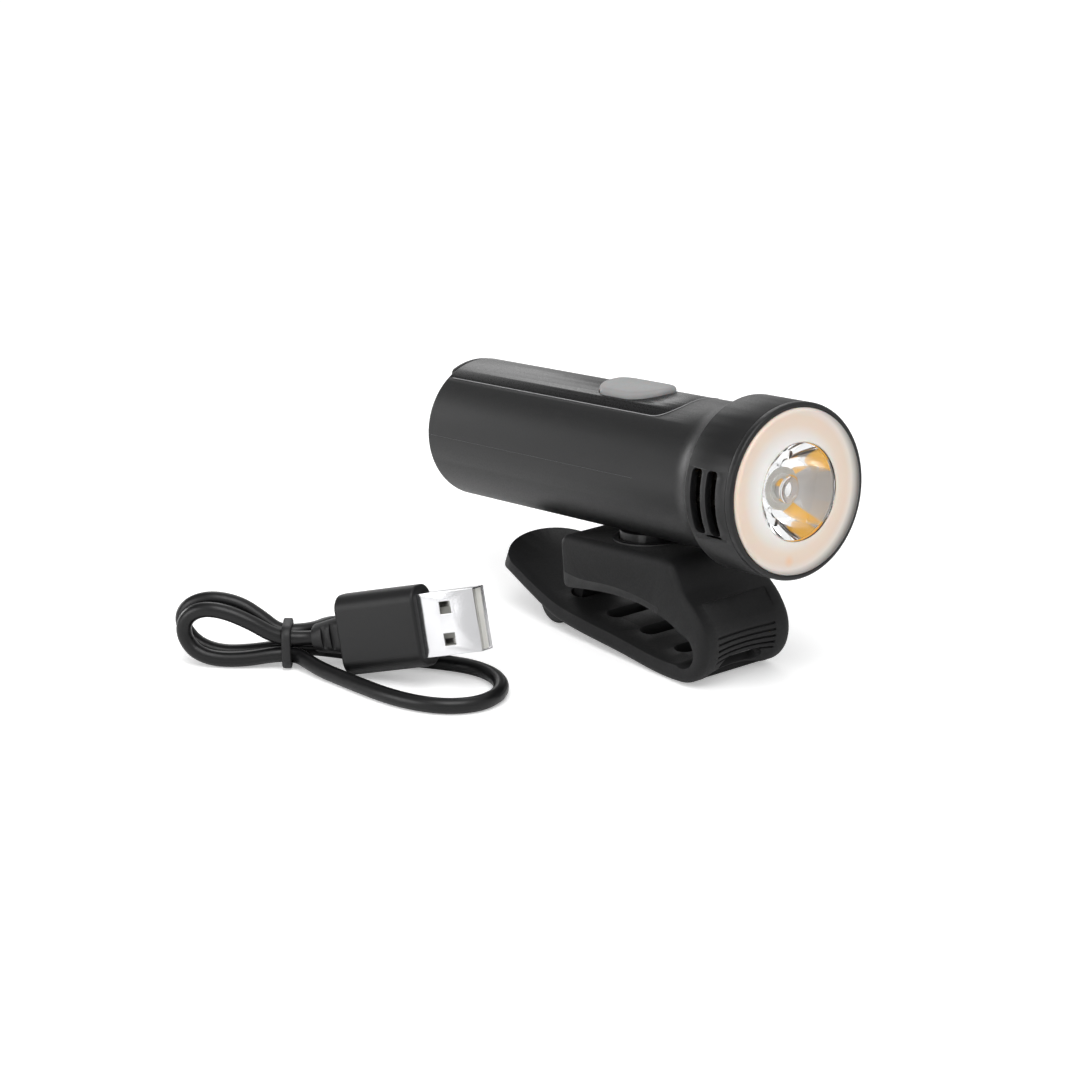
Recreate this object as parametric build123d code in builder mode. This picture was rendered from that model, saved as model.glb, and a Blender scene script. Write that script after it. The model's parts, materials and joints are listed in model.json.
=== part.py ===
from build123d import *
import os
from math import asin, atan2, cos, degrees, radians, sin, tan

# Rechargeable bicycle headlight on a silicone handlebar strap, with its charge cable.
# Every lamp and mount piece is drawn in the lamp's own axes, in millimetres: the origin is the
# centre of the bezel's front face, +Y runs back along the lamp, +Z is up and +X is across.
# At the end the lamp is tipped nose up onto the floor that it stands on.

# Driving dimensions of the lamp
head_radius = 16.5
head_length = 12.2
tube_radius = 14.1
lamp_length = 95.0
flare_length = 6.3
head_wall = 1.5
tube_wall = 2.2
rear_wall = 1.6
rear_rounding = 0.9
fit_gap = 0.05
running_gap = 0.3

# Cooling slots in the sides of the head
slot_width = 2.75
slot_half_angle = 21.5
slot_places = (5.45, 9.55)
slot_corner = 0.9

# Bezel, opal ring lens and seal
bezel_depth = 1.5
bezel_face = 0.95
bezel_sleeve = 1.9
bezel_lip = 0.3
bezel_corner = 0.3
sleeve_thickness = 0.7
seal_thickness = 0.3
lens_stand = 0.6
lens_rounding = 0.8
lens_ring_width = 6.3
lens_lip = 0.9
lens_collar = 1.1
lens_collar_wall = 0.45

# Clear optic, the holder round it and the emitter in its rear pocket
optic_recess = 0.1
optic_flange_width = 0.7
optic_flange_thickness = 0.75
optic_depth = 8.9
optic_shoulder = 0.15
optic_base_radius = 4.0
pocket_radius = 2.5
pocket_depth = 3.8
pocket_flare = 0.25
pocket_bulge = 0.8
holder_gap = 0.15
holder_wall = 0.5
emitter_size = 3.45
emitter_base = 0.7
dome_radius = 1.5
led_board_radius = 8.0
board_thickness = 1.0
board_gap = 0.15
screw_radius = 0.9
screw_head_radius = 1.2
screw_head_height = 0.7

# Halo lamps, heat sink and its fins
halo_board_thickness = 0.8
halo_led_count = 6
halo_led_size = (1.6, 0.9, 0.6)
halo_led_inset = 0.9
fin_count = 20
fin_thickness = 0.9
fin_stand = 0.6
fin_gap = 1.3
fin_play = 0.2
sink_stand = 0.4
sink_thickness = 1.6

# Top cover and button
cover_half_angle = 34.0
cover_stand = 7.1
cover_corner = 5.5
cover_thickness = 1.15
button_place = 43.0
button_length = 17.2
button_width = 10.2
button_nose = 8.0
button_corner = 3.6
button_stand = 1.1
button_rounding = 0.9
button_travel = 0.45
button_gap = 0.15
pip_radius = 1.2

# Inside the tube
bore_step = 0.7
bore_run_out = 0.4
cell_space = 2.65
cell_stand = 7.7
cell_drop = 2.3
cell_edge = 0.6
end_gap = 0.4
tab_thickness = 0.3
tab_width = 6.0
circuit_width = 13.0
circuit_gap = 1.4
cradle_wall = 1.5
cradle_end = 1.0
cradle_play = 0.2
cradle_slot = 4.0
cradle_window = 6.0
tab_play = 1.0
switch_size = 4.6
switch_height = 2.0
plunger_radius = 1.0
status_led_spots = (-5.5, 5.5)
status_led_size = (1.6, 0.8, 0.6)
socket_width = 7.5
socket_height = 2.6
socket_length = 5.6
port_gap = 0.25

# Rubber port cover on the rear face
flap_width = 12.2
flap_thickness = 0.8
flap_foot = 3.0
flap_edge = 0.15
anchor_height = 2.4
anchor_gap = 0.25

# Swivel foot, its insert and its screw
swivel_place = 41.0
foot_radius = 6.9
foot_depth = 2.5
collar_wall = 1.1
collar_stand = 0.25
tube_clearance = 0.7
web_thickness = 4.2
pivot_radius = 1.5
pivot_gap = 0.08
pivot_head_radius = 3.0
pivot_head_height = 1.6
washer_thickness = 0.4
insert_radius = 2.4
insert_depth = 0.8

# Handlebar strap: a place is measured back from the swivel's axis, or from the saddle's rear
# for the tail and the hook, and a drop is measured down from the saddle's top
strap_width = 22.6
strap_wall = 3.6
strap_edge = 1.6
skin_side = 1.8
skin_top = 1.6
saddle_ahead = 14.0
saddle_behind = 16.3
saddle_corner = 2.0
saddle_depth = 9.2
shoulder = (-18.1, 2.5)
neck = (-19.6, 5.8)
neck_slope = 29.2
bend_ahead = 17.5
bend_drop = 15.7
bend_radius = 8.1
bend_wall = 3.0
floor_middle = (-0.8, 21.6)
floor_slope = 8.5
tail_foot = (1.2, 18.5)
tail_foot_slope = 13.0
tail_bend = (8.7, 15.5)
tail_bend_slope = 22.0
tail_tip = (23.4, 7.6)
tail_slope = 28.0
tail_thickness = 3.0
tongue_length = 8.0
roof_front = (-2.0, 1.9)
roof_points = ((-10.0, 10.3), (0.0, 9.4))
roof_rear = (-2.4, 10.3)
roof_corner = (-0.7, 9.6)
loop_mouth = 8.0
strap_slot_length = 3.9
strap_slot_width = 11.6
strap_slot_stand = 6.3
strap_slot_step = 10.0
strap_slot_count = 3
bend_slot_angle = 42.5
bend_slot_length = 3.2
bend_slot_width = 10.4

# Grip in the front of the strap: a hollow with grooves across it
grip_width = 16.0
grip_depth = 1.2
grip_rise = 4.6
grip_rise_slope = 38.0
grip_end_angle = 78.0
groove_width = 14.6
groove_depth = 0.5
groove_angle = 3.6
groove_first = -10.5
groove_step = 9.5
groove_count = 5

# Core and its hook
block_inset = 2.5
flange_points = ((0.7, 6.6), (-6.3, 8.0), (-13.3, 7.8), (-20.3, 8.1), (-29.3, 9.8))
flange_depth = 12.2
hook_arm_width = 9.0
hook_arm_thickness = 2.6
hook_arm_points = ((-3.3, 8.5), (-0.3, 8.5), (1.6, 9.4), (4.1, 15.8), (5.2, 17.0))
hook_width = 18.0
hook_radius = 4.5
hook_place = (5.85, 15.3)
hook_seat = (5.85, 16.3)
hook_slope = 20.0
hook_edge = 0.8
hook_slot_play = 0.6

# Charge cable, in the standing frame
plug_place = (-47.75, 2.35, 11.85)
device_place = (-48.9, 25.9, 5.4)
tie_place = (-62.5, 27.3)
cord_diameter = 3.0
plug_shell = (12.0, 4.5, 12.0)
plug_shell_wall = 0.3
plug_shell_root = 8.0
plug_grip = (17.2, 15.5, 8.0)
plug_grip_edge = 3.0
plug_relief = 6.6
plug_relief_radius = 2.9
relief_size = (7.5, 6.0, 2.0)
latch_hole = 2.4
latch_place = 5.7
latch_spread = 3.0
tongue_height = 1.9
contact_places = (-3.5, -1.0, 1.0, 3.5)
contact_size = (1.0, 0.2)
device_grip = (14.0, 10.0, 6.6)
device_grip_edge = 2.2
device_shell = (6.9, 1.8, 6.6)
device_shell_root = 4.0
cord_insertion = 1.5
tie_wall = 1.0
tie_width = 1.8
tie_inside = (6.7, 6.6)
tie_corner = 1.5

# Values worked out from the driving dimensions
half_length = lamp_length / 2
head_bore = head_radius - head_wall
tube_bore = tube_radius - tube_wall
flare_end = head_length + flare_length
inner_rear = lamp_length - rear_wall
cone_front = head_length - bore_step
cone_rear = flare_end + bore_run_out
lens_radius = head_radius - bezel_face - fit_gap
aperture_radius = lens_radius - lens_ring_width
skin_level = -(tube_radius + tube_clearance)
foot_level = -(tube_radius + foot_depth)
pieces = {}


def keep(builder, name):
    """Name a finished lamp or mount piece and hold it until the lamp is stood on the floor."""
    builder.part.label = name
    pieces[name] = builder.part


def tube_outline(inner, front, back):
    """Ring section from an inner radius to the tube's outside, with the rounded rear edge."""
    with BuildLine() as outline:
        Polyline(
            (inner, front),
            (tube_radius, front),
            (tube_radius, back - rear_rounding),
        )
        RadiusArc(
            (tube_radius, back - rear_rounding),
            (tube_radius - rear_rounding, back),
            -rear_rounding,
        )
        Polyline((tube_radius - rear_rounding, back), (inner, back), (inner, front))
    return outline


# Body shell: one moulding with the head, the flare, the tube and the swivel foot
cover_half_width = tube_radius * sin(radians(cover_half_angle))
cover_front = flare_end + cover_stand
cover_run = lamp_length - cover_front
cover_floor = tube_radius - cover_thickness - fit_gap
slot_height = 2 * head_radius * sin(radians(slot_half_angle))
circuit_level = tube_bore - cell_space - cell_drop + 5 * fit_gap
port_level = circuit_level + board_thickness + socket_height / 2

with BuildPart() as body_shell:
    with BuildSketch(Plane.XY):
        with BuildLine():
            Polyline(
                (0, lamp_length),
                (0, inner_rear),
                (tube_bore, inner_rear),
                (tube_bore, cone_rear),
                (head_bore, cone_front),
                (head_bore, bezel_depth),
                (head_radius, bezel_depth),
                (head_radius, head_length),
            )
            TangentArc(
                (tube_radius, flare_end),
                (head_radius, head_length),
                tangent=(0, -1),
            )
            Line((tube_radius, flare_end), (tube_radius, lamp_length - rear_rounding))
            RadiusArc(
                (tube_radius, lamp_length - rear_rounding),
                (tube_radius - rear_rounding, lamp_length),
                -rear_rounding,
            )
            Line((tube_radius - rear_rounding, lamp_length), (0, lamp_length))
        make_face()
    revolve(axis=Axis.Y)
    # The swivel foot stands out of the underside
    with BuildSketch(Plane.XY.offset(foot_level)):
        with Locations((0, swivel_place)):
            Circle(foot_radius)
    extrude(amount=foot_depth + tube_wall / 2)
    with Locations((0, swivel_place, foot_level)):
        Cylinder(
            insert_radius,
            foot_depth + insert_depth,
            align=(Align.CENTER, Align.CENTER, Align.MIN),
            mode=Mode.SUBTRACT,
        )
    # Two cooling slots through each side of the head
    with BuildSketch(Plane.YZ):
        with Locations([(place, 0) for place in slot_places]):
            RectangleRounded(slot_width, slot_height, slot_corner)
    extrude(amount=head_radius + 1, both=True, mode=Mode.SUBTRACT)
    # The pocket for the top cover, sunk to the cover's own thickness
    with BuildPart(mode=Mode.PRIVATE) as cover_pocket:
        with BuildSketch(Plane.XY):
            with Locations((0, cover_front + cover_run)):
                RectangleRounded(2 * cover_half_width, 2 * cover_run, cover_corner)
        extrude(amount=tube_radius + 1)
        with Locations(Location((0, lamp_length / 2, 0), (90, 0, 0))):
            Cylinder(cover_floor, 2 * lamp_length, mode=Mode.SUBTRACT)
    add(cover_pocket.part, mode=Mode.SUBTRACT)
    # The hole for the button's pip and the charge port through the rear wall
    with Locations((0, button_place, tube_bore)):
        Cylinder(pip_radius + 0.6, 2 * tube_wall, mode=Mode.SUBTRACT)
    with BuildSketch(Plane.XZ.offset(-lamp_length)):
        with Locations((0, port_level)):
            RectangleRounded(socket_width + 2 * port_gap, socket_height + 2 * port_gap, 0.8)
    extrude(amount=2 * rear_wall, both=True, mode=Mode.SUBTRACT)
keep(body_shell, "body_shell")


def button_plan(gap):
    """Plan of the button, grown by a gap all round: a blunt rear and a long narrowing nose."""
    with BuildSketch() as plan:
        with Locations((0, button_place - button_length / 2 + button_nose)):
            Ellipse(button_width / 2 + gap, button_nose + gap)
            Rectangle(
                button_width + 2 * gap,
                button_length - button_nose + gap,
                align=(Align.CENTER, Align.MIN),
            )
        fillet(plan.vertices().sort_by(Axis.Y)[-2:], button_corner + gap)
    return plan.sketch



# Top cover: the separate strip let into the top of the tube
with BuildPart() as top_cover:
    with BuildSketch(Plane.XY):
        add(tube_outline(tube_radius - cover_thickness, cover_front - 2, lamp_length))
        make_face()
    revolve(axis=Axis.Y)
    with BuildPart(mode=Mode.PRIVATE) as cover_blank:
        with BuildSketch(Plane.XY):
            with Locations((0, cover_front + cover_run)):
                RectangleRounded(
                    2 * (cover_half_width - fit_gap),
                    2 * (cover_run - fit_gap),
                    cover_corner - fit_gap,
                )
            add(button_plan(button_gap), mode=Mode.SUBTRACT)
        extrude(amount=tube_radius + 1)
    add(cover_blank.part, mode=Mode.INTERSECT)
keep(top_cover, "top_cover")

# Button: a silicone cap, crowned like the tube, with a pip that reaches the switch below
switch_top = circuit_level + board_thickness + switch_height
plunger_top = switch_top + button_travel + 0.75
cap_under = tube_radius - cover_thickness + button_travel + 0.15
with BuildPart() as button_cap:
    with BuildSketch(Plane.XY):
        add(button_plan(0))
    extrude(amount=tube_radius + button_stand + 1)
    with BuildPart(mode=Mode.PRIVATE) as cap_crown:
        with Locations(Location((0, button_place, 0), (90, 0, 0))):
            Cylinder(tube_radius + button_stand, button_length + 4)
            Cylinder(cap_under, button_length + 4, mode=Mode.SUBTRACT)
    add(cap_crown.part, mode=Mode.INTERSECT)
    fillet(button_cap.faces().sort_by(Axis.Z)[-1].edges(), button_rounding)
    with Locations((0, button_place, plunger_top + fit_gap)):
        Cylinder(
            pip_radius,
            cap_under + 0.4 - plunger_top,
            align=(Align.CENTER, Align.CENTER, Align.MIN),
        )
keep(button_cap, "button_cap")

with BuildPart() as tact_switch:
    with Locations((0, button_place, circuit_level + board_thickness + switch_height / 2)):
        Box(switch_size, switch_size, switch_height)
    with Locations((0, button_place, switch_top)):
        Cylinder(
            plunger_radius + 0.1,
            2 * (button_travel + 0.6),
            mode=Mode.SUBTRACT,
        )
keep(tact_switch, "tact_switch")

with BuildPart() as switch_plunger:
    with Locations((0, button_place, switch_top - 0.5)):
        Cylinder(
            plunger_radius,
            plunger_top - switch_top + 0.5,
            align=(Align.CENTER, Align.CENTER, Align.MIN),
        )
keep(switch_plunger, "switch_plunger")

# Front bezel: the ring that holds the lens, with a sleeve pressed into the head
sleeve_radius = head_bore - fit_gap
sleeve_bore = sleeve_radius - sleeve_thickness
lens_back = bezel_depth - bezel_lip - seal_thickness
with BuildPart() as front_bezel:
    with BuildSketch(Plane.XY):
        with BuildLine():
            Polyline(
                (head_radius - bezel_face, 0),
                (head_radius - bezel_corner, 0),
                (head_radius, bezel_corner),
                (head_radius, bezel_depth),
                (sleeve_radius, bezel_depth),
                (sleeve_radius, bezel_depth + bezel_sleeve),
                (sleeve_bore, bezel_depth + bezel_sleeve),
                (sleeve_bore, bezel_depth - bezel_lip),
                (head_radius - bezel_face, bezel_depth - bezel_lip),
                (head_radius - bezel_face, 0),
            )
        make_face()
    revolve(axis=Axis.Y)
keep(front_bezel, "front_bezel")

with BuildPart() as lens_seal:
    with BuildSketch(Plane.XZ.offset(-(lens_back + seal_thickness))):
        Circle(lens_radius - 2 * fit_gap)
        Circle(sleeve_bore, mode=Mode.SUBTRACT)
    extrude(amount=seal_thickness)
keep(lens_seal, "lens_seal")

# Halo lens: the opal ring that stands a little proud of the bezel and holds the optic's flange
collar_back = lens_back + lens_collar
flange_front = lens_lip - lens_stand
flange_radius = aperture_radius + optic_flange_width
collar_bore = flange_radius + fit_gap
with BuildPart() as halo_lens:
    with BuildSketch(Plane.XY):
        with BuildLine():
            Polyline(
                (aperture_radius, -lens_stand + bezel_corner),
                (aperture_radius + bezel_corner, -lens_stand),
                (lens_radius - lens_rounding, -lens_stand),
            )
            RadiusArc(
                (lens_radius - lens_rounding, -lens_stand),
                (lens_radius, -lens_stand + lens_rounding),
                -lens_rounding,
            )
            Polyline(
                (lens_radius, -lens_stand + lens_rounding),
                (lens_radius, lens_back),
                (collar_bore + lens_collar_wall, lens_back),
                (collar_bore + lens_collar_wall, collar_back),
                (collar_bore, collar_back),
                (collar_bore, flange_front),
                (aperture_radius, flange_front),
                (aperture_radius, -lens_stand + bezel_corner),
            )
        make_face()
    revolve(axis=Axis.Y)
keep(halo_lens, "halo_lens")

# Collimator: one clear moulding whose sides are a parabola of revolution, with its focus at
# the emitter, and whose rear pocket is roofed by a small lens
optic_front = optic_recess - lens_stand
flange_back = flange_front + optic_flange_thickness
optic_back = optic_front + optic_depth
optic_radius = aperture_radius - optic_shoulder
optic_focus = (optic_radius ** 2 - optic_base_radius ** 2) / (4 * (optic_back - flange_back))


def optic_place(radius):
    """Distance behind the bezel's face of the optic's side at one radius."""
    return flange_back + (optic_radius ** 2 - radius ** 2) / (4 * optic_focus)


side_steps = 5
side_radii = [
    optic_radius + (optic_base_radius - optic_radius) * n / side_steps
    for n in range(side_steps + 1)
]
pocket_roof = optic_back - pocket_depth
lens_curve = (pocket_radius ** 2 + pocket_bulge ** 2) / (2 * pocket_bulge)
lens_centre = pocket_roof + pocket_bulge - lens_curve
with BuildPart() as collimator:
    with BuildSketch(Plane.XY):
        with BuildLine():
            Polyline(
                (0, optic_front),
                (aperture_radius - fit_gap, optic_front),
                (aperture_radius - fit_gap, flange_front + fit_gap),
                (flange_radius, flange_front + fit_gap),
                (flange_radius, flange_back),
                (optic_radius, flange_back),
            )
            Spline([(radius, optic_place(radius)) for radius in side_radii])
            Polyline(
                (optic_base_radius, optic_back),
                (pocket_radius + pocket_flare, optic_back),
                (pocket_radius, pocket_roof),
            )
            ThreePointArc(
                (pocket_radius, pocket_roof),
                (pocket_radius / 2, lens_centre + (lens_curve ** 2 - pocket_radius ** 2 / 4) ** 0.5),
                (0, pocket_roof + pocket_bulge),
            )
            Line((0, pocket_roof + pocket_bulge), (0, optic_front))
        make_face()
    revolve(axis=Axis.Y)
keep(collimator, "collimator")

# The white cup that carries the collimator on the emitter's board
board_front = optic_back + board_gap
with BuildPart() as optic_holder:
    with BuildSketch(Plane.XY):
        with BuildLine():
            Spline([(radius + holder_gap, optic_place(radius)) for radius in side_radii])
            Polyline(
                (optic_base_radius + holder_gap, optic_back),
                (optic_base_radius + holder_gap, board_front),
                (optic_base_radius + holder_gap + holder_wall, board_front),
                (optic_base_radius + holder_gap + holder_wall, optic_back),
            )
            Spline([(r + holder_gap + holder_wall, optic_place(r)) for r in reversed(side_radii)])
            Line(
                (optic_radius + holder_gap + holder_wall, flange_back),
                (optic_radius + holder_gap, flange_back),
            )
        make_face()
    revolve(axis=Axis.Y)
keep(optic_holder, "optic_holder")

# Emitter and its board, screwed to the heat sink's pedestal
pedestal_front = board_front + board_thickness
sink_front = head_length - sink_stand
sink_back = sink_front + sink_thickness
dome_centre = board_front - emitter_base
with BuildPart() as led_emitter:
    with BuildSketch(Plane.XZ.offset(-board_front)):
        RectangleRounded(emitter_size, emitter_size, 0.2)
    extrude(amount=emitter_base)
    with Locations((0, dome_centre, 0)):
        Sphere(dome_radius)
    split(bisect_by=Plane.XZ.offset(-board_front), keep=Keep.TOP)
keep(led_emitter, "led_emitter")

screw_circle = led_board_radius - screw_head_radius - 0.2
led_screw_places = [(screw_circle * s, 0) for s in (-1, 1)]
with BuildPart() as led_board:
    with BuildSketch(Plane.XZ.offset(-pedestal_front)):
        Circle(led_board_radius)
        with Locations(led_screw_places):
            Circle(screw_radius + 0.1, mode=Mode.SUBTRACT)
    extrude(amount=board_thickness)
keep(led_board, "led_board")

with BuildPart() as board_screws:
    with BuildSketch(Plane.XZ.offset(-sink_back)):
        with Locations(led_screw_places):
            Circle(screw_radius)
    extrude(amount=sink_back - board_front)
    with BuildSketch(Plane.XZ.offset(-board_front)):
        with Locations(led_screw_places):
            Circle(screw_head_radius)
    extrude(amount=screw_head_height)
keep(board_screws, "board_screws")


def bore_radius(place):
    """Inside radius of the shell's cone at one distance behind the bezel's face."""
    share = (place - cone_front) / (cone_rear - cone_front)
    return head_bore + share * (tube_bore - head_bore)


# Heat sink: a plate and pedestal behind the board, with fins round the optic that show in the slots
fin_inner_radius = aperture_radius + fin_gap
fin_front = bezel_depth + bezel_sleeve + fin_stand
fin_outer_radius = head_bore - fin_play
sink_radius = bore_radius(sink_back) - fit_gap
with BuildPart() as heat_sink:
    with BuildSketch(Plane.XY):
        with BuildLine():
            Polyline(
                (fin_inner_radius, fin_front),
                (fin_outer_radius, fin_front),
                (fin_outer_radius, cone_front),
                (sink_radius, sink_back),
                (fin_inner_radius, sink_back),
                (fin_inner_radius, fin_front),
            )
        make_face()
    revolve(axis=Axis.Y)
    with BuildPart(mode=Mode.PRIVATE) as fin_blank:
        with PolarLocations(0, fin_count // 2, angular_range=180):
            Box(3 * head_radius, fin_thickness, 3 * head_radius)
    add(fin_blank.part.rotate(Axis.X, 90), mode=Mode.INTERSECT)
    with BuildSketch(Plane.XZ.offset(-sink_back)):
        Circle(sink_radius)
    extrude(amount=sink_thickness)
    with BuildSketch(Plane.XZ.offset(-sink_front)):
        Circle(led_board_radius)
    extrude(amount=sink_front - pedestal_front)
    with BuildSketch(Plane.XZ.offset(-sink_back)):
        with Locations(led_screw_places):
            Circle(screw_radius)
    extrude(amount=sink_back - pedestal_front, mode=Mode.SUBTRACT)
    with BuildSketch(Plane.XZ.offset(-(fin_front + halo_board_thickness))):
        Circle(fin_outer_radius)
        Circle(fin_inner_radius, mode=Mode.SUBTRACT)
    extrude(amount=halo_board_thickness)
keep(heat_sink, "heat_sink")

halo_board_radius = sleeve_bore - 2 * fit_gap
with BuildPart() as halo_board:
    with BuildSketch(Plane.XZ.offset(-fin_front + fit_gap)):
        Circle(halo_board_radius)
        Circle(fin_inner_radius + 2 * fit_gap, mode=Mode.SUBTRACT)
    extrude(amount=halo_board_thickness)
keep(halo_board, "halo_board")

halo_radius = sleeve_bore - halo_led_inset
halo_front = fin_front - fit_gap - halo_board_thickness
with BuildPart() as halo_leds:
    with Locations(Location((0, halo_front, 0), (90, 0, 0))):
        with PolarLocations(halo_radius, halo_led_count, start_angle=-90):
            Box(
                halo_led_size[1],
                halo_led_size[0],
                halo_led_size[2],
                align=(Align.CENTER, Align.CENTER, Align.MIN),
            )
keep(halo_leds, "halo_leds")

# Battery cell, its cradle and its two tabs
cell_radius = tube_bore - cell_space
cell_place = flare_end + cell_stand
cradle_rear = inner_rear - end_gap
cell_length = cradle_rear - cradle_end - tab_thickness - cell_place
cell_middle = cell_place + cell_length / 2
with BuildPart() as battery_cell:
    with Locations(Location((0, cell_middle, -cell_drop), (90, 0, 0))):
        Cylinder(cell_radius, cell_length)
    fillet(battery_cell.edges().filter_by(GeomType.CIRCLE), cell_edge)
keep(battery_cell, "battery_cell")

cradle_front = cell_place - tab_thickness - cradle_wall
with BuildPart() as battery_cradle:
    with Locations(Location((0, (cradle_front + cradle_rear) / 2, 0), (90, 0, 0))):
        Cylinder(tube_bore - cradle_play, cradle_rear - cradle_front)
    bore_length = cell_length + 2 * tab_thickness + 2 * fit_gap
    with Locations(Location((0, cell_middle, -cell_drop), (90, 0, 0))):
        Cylinder(cell_radius + 2 * fit_gap, bore_length, mode=Mode.SUBTRACT)
    # Open above and below the cell, and cut flat on top to carry the circuit board
    with Locations((0, cell_middle, circuit_level)):
        Box(tab_width + 2 * tab_play, bore_length, cradle_slot, mode=Mode.SUBTRACT)
    with Locations((0, cell_middle, -(cell_drop + cell_radius))):
        Box(2 * tube_bore, bore_length, cradle_window, mode=Mode.SUBTRACT)
    split(bisect_by=Plane.XY.offset(circuit_level - fit_gap), keep=Keep.BOTTOM)
keep(battery_cradle, "battery_cradle")

with BuildPart() as battery_tabs:
    for tab_front in (cell_place - tab_thickness, cell_place + cell_length):
        with BuildSketch(Plane.XZ.offset(-(tab_front + tab_thickness))):
            with Locations((0, -cell_drop)):
                Rectangle(
                    tab_width,
                    cell_drop + circuit_level - 2 * fit_gap,
                    align=(Align.CENTER, Align.MIN),
                )
        extrude(amount=tab_thickness)
keep(battery_tabs, "battery_tabs")

circuit_front = cradle_front + 2 * fit_gap
circuit_rear = inner_rear - circuit_gap

# Driver board on the cradle, with the switch, the status lamps and the charge socket on it
with BuildPart() as driver_board:
    with Locations((0, (circuit_front + circuit_rear) / 2, circuit_level)):
        Box(
            circuit_width,
            circuit_rear - circuit_front,
            board_thickness,
            align=(Align.CENTER, Align.CENTER, Align.MIN),
        )
keep(driver_board, "driver_board")

with BuildPart() as status_leds:
    with Locations(*[(0, button_place + spot, circuit_level + board_thickness) for spot in status_led_spots]):
        Box(*status_led_size, align=(Align.CENTER, Align.CENTER, Align.MIN))
keep(status_leds, "status_leds")

with BuildPart() as charge_socket:
    with BuildSketch(Plane.XZ.offset(-inner_rear)):
        with Locations((0, port_level)):
            RectangleRounded(socket_width, socket_height, 0.6)
    extrude(amount=socket_length)
    with BuildSketch(Plane.XZ.offset(-inner_rear)):
        with Locations((0, port_level)):
            RectangleRounded(socket_width - 0.6, socket_height - 0.6, 0.4)
    extrude(amount=socket_length - 1.0, mode=Mode.SUBTRACT)
    with BuildSketch(Plane.XZ.offset(-(inner_rear - 0.8))):
        with Locations((0, port_level + 0.35)):
            Rectangle(4.2, 0.6)
    extrude(amount=socket_length - 1.2)
keep(charge_socket, "charge_socket")

# Port cover: a rubber flap on the rear face that plugs the port, rounded at its hinge edge
flap_axis = (lamp_length + flap_thickness / 2, flap_foot)
with BuildPart() as port_cover:
    with BuildSketch(Plane.XZ.offset(-lamp_length)):
        Circle(tube_radius - flap_edge)
        with Locations((0, flap_foot)):
            Rectangle(
                flap_width,
                tube_radius,
                align=(Align.CENTER, Align.MIN),
                mode=Mode.INTERSECT,
            )
    extrude(amount=-flap_thickness)
    fillet(port_cover.edges().filter_by(Axis.Y).group_by(Axis.Z)[-1], 1.2)
    with Locations(Location((0, flap_axis[0], flap_axis[1]), (0, 90, 0))):
        Cylinder(flap_thickness / 2, flap_width)
    with BuildSketch(Plane.XZ.offset(-lamp_length)):
        with Locations((0, port_level)):
            RectangleRounded(socket_width + port_gap, socket_height + port_gap, 0.7)
    extrude(amount=rear_wall - 0.3)
keep(port_cover, "port_cover")

anchor_drop = flap_thickness / 2 + anchor_gap
with BuildPart() as flap_anchor:
    with BuildSketch(Plane.XZ.offset(-lamp_length)):
        with Locations((0, flap_foot - anchor_drop - anchor_height / 2)):
            RectangleRounded(flap_width, anchor_height, 0.8)
    extrude(amount=-flap_thickness)
keep(flap_anchor, "flap_anchor")

# Brass insert and pivot screw of the swivel
web_under = foot_level - running_gap - web_thickness
with BuildPart() as pivot_insert:
    with Locations((0, swivel_place, foot_level)):
        Cylinder(
            insert_radius,
            foot_depth + insert_depth,
            align=(Align.CENTER, Align.CENTER, Align.MIN),
        )
        Cylinder(
            pivot_radius,
            foot_depth + 0.3,
            align=(Align.CENTER, Align.CENTER, Align.MIN),
            mode=Mode.SUBTRACT,
        )
keep(pivot_insert, "pivot_insert")

head_level = web_under - washer_thickness - 0.1
with BuildPart() as pivot_screw:
    with Locations((0, swivel_place, head_level)):
        Cylinder(
            pivot_radius,
            foot_level + foot_depth - head_level,
            align=(Align.CENTER, Align.CENTER, Align.MIN),
        )
        Cylinder(
            pivot_head_radius,
            pivot_head_height,
            align=(Align.CENTER, Align.CENTER, Align.MAX),
        )
    with BuildSketch(Plane.XY.offset(head_level - pivot_head_height)):
        with Locations((0, swivel_place)):
            RegularPolygon(1.2, 6)
    extrude(amount=1.0, mode=Mode.SUBTRACT)
keep(pivot_screw, "pivot_screw")

with BuildPart() as pivot_washer:
    with BuildSketch(Plane.XY.offset(web_under)):
        with Locations((0, swivel_place)):
            Circle(pivot_head_radius + 0.2)
            Circle(pivot_radius + 0.15, mode=Mode.SUBTRACT)
    extrude(amount=-washer_thickness)
keep(pivot_washer, "pivot_washer")
# Where the mount lies in the lamp's axes
saddle_front = swivel_place - saddle_ahead
saddle_rear = swivel_place + saddle_behind
saddle_foot = (saddle_rear, skin_level - saddle_depth)
bend_y = swivel_place - bend_ahead
bend_z = skin_level - bend_drop


def near_swivel(spot):
    """Point of the mount from its place behind the swivel's axis and its drop."""
    return (swivel_place + spot[0], skin_level - spot[1])


def near_tail(spot):
    """Point of the mount from its place behind the saddle's rear and its drop."""
    return (saddle_rear + spot[0], skin_level - spot[1])


def bend_point(angle, radius):
    """Point round the front bend, by the angle below its foremost point."""
    turn = radians(angle)
    return (bend_y - radius * cos(turn), bend_z - radius * sin(turn))


def through_wall(spot, slope, wall):
    """Point on the inside of the strap across its wall from one on the outside."""
    turn = radians(slope)
    return (spot[0] - wall * sin(turn), spot[1] + wall * cos(turn))


def heading(slope, sense=1):
    """Direction along the strap, in its side view, at one slope."""
    turn = radians(slope)
    return (sense * cos(turn), sense * sin(turn))


# The hollow's arc across the strap keeps one radius, so a groove runs alongside it
grip_arc = (grip_width ** 2 / 4 + grip_depth ** 2) / (2 * grip_depth)


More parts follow.
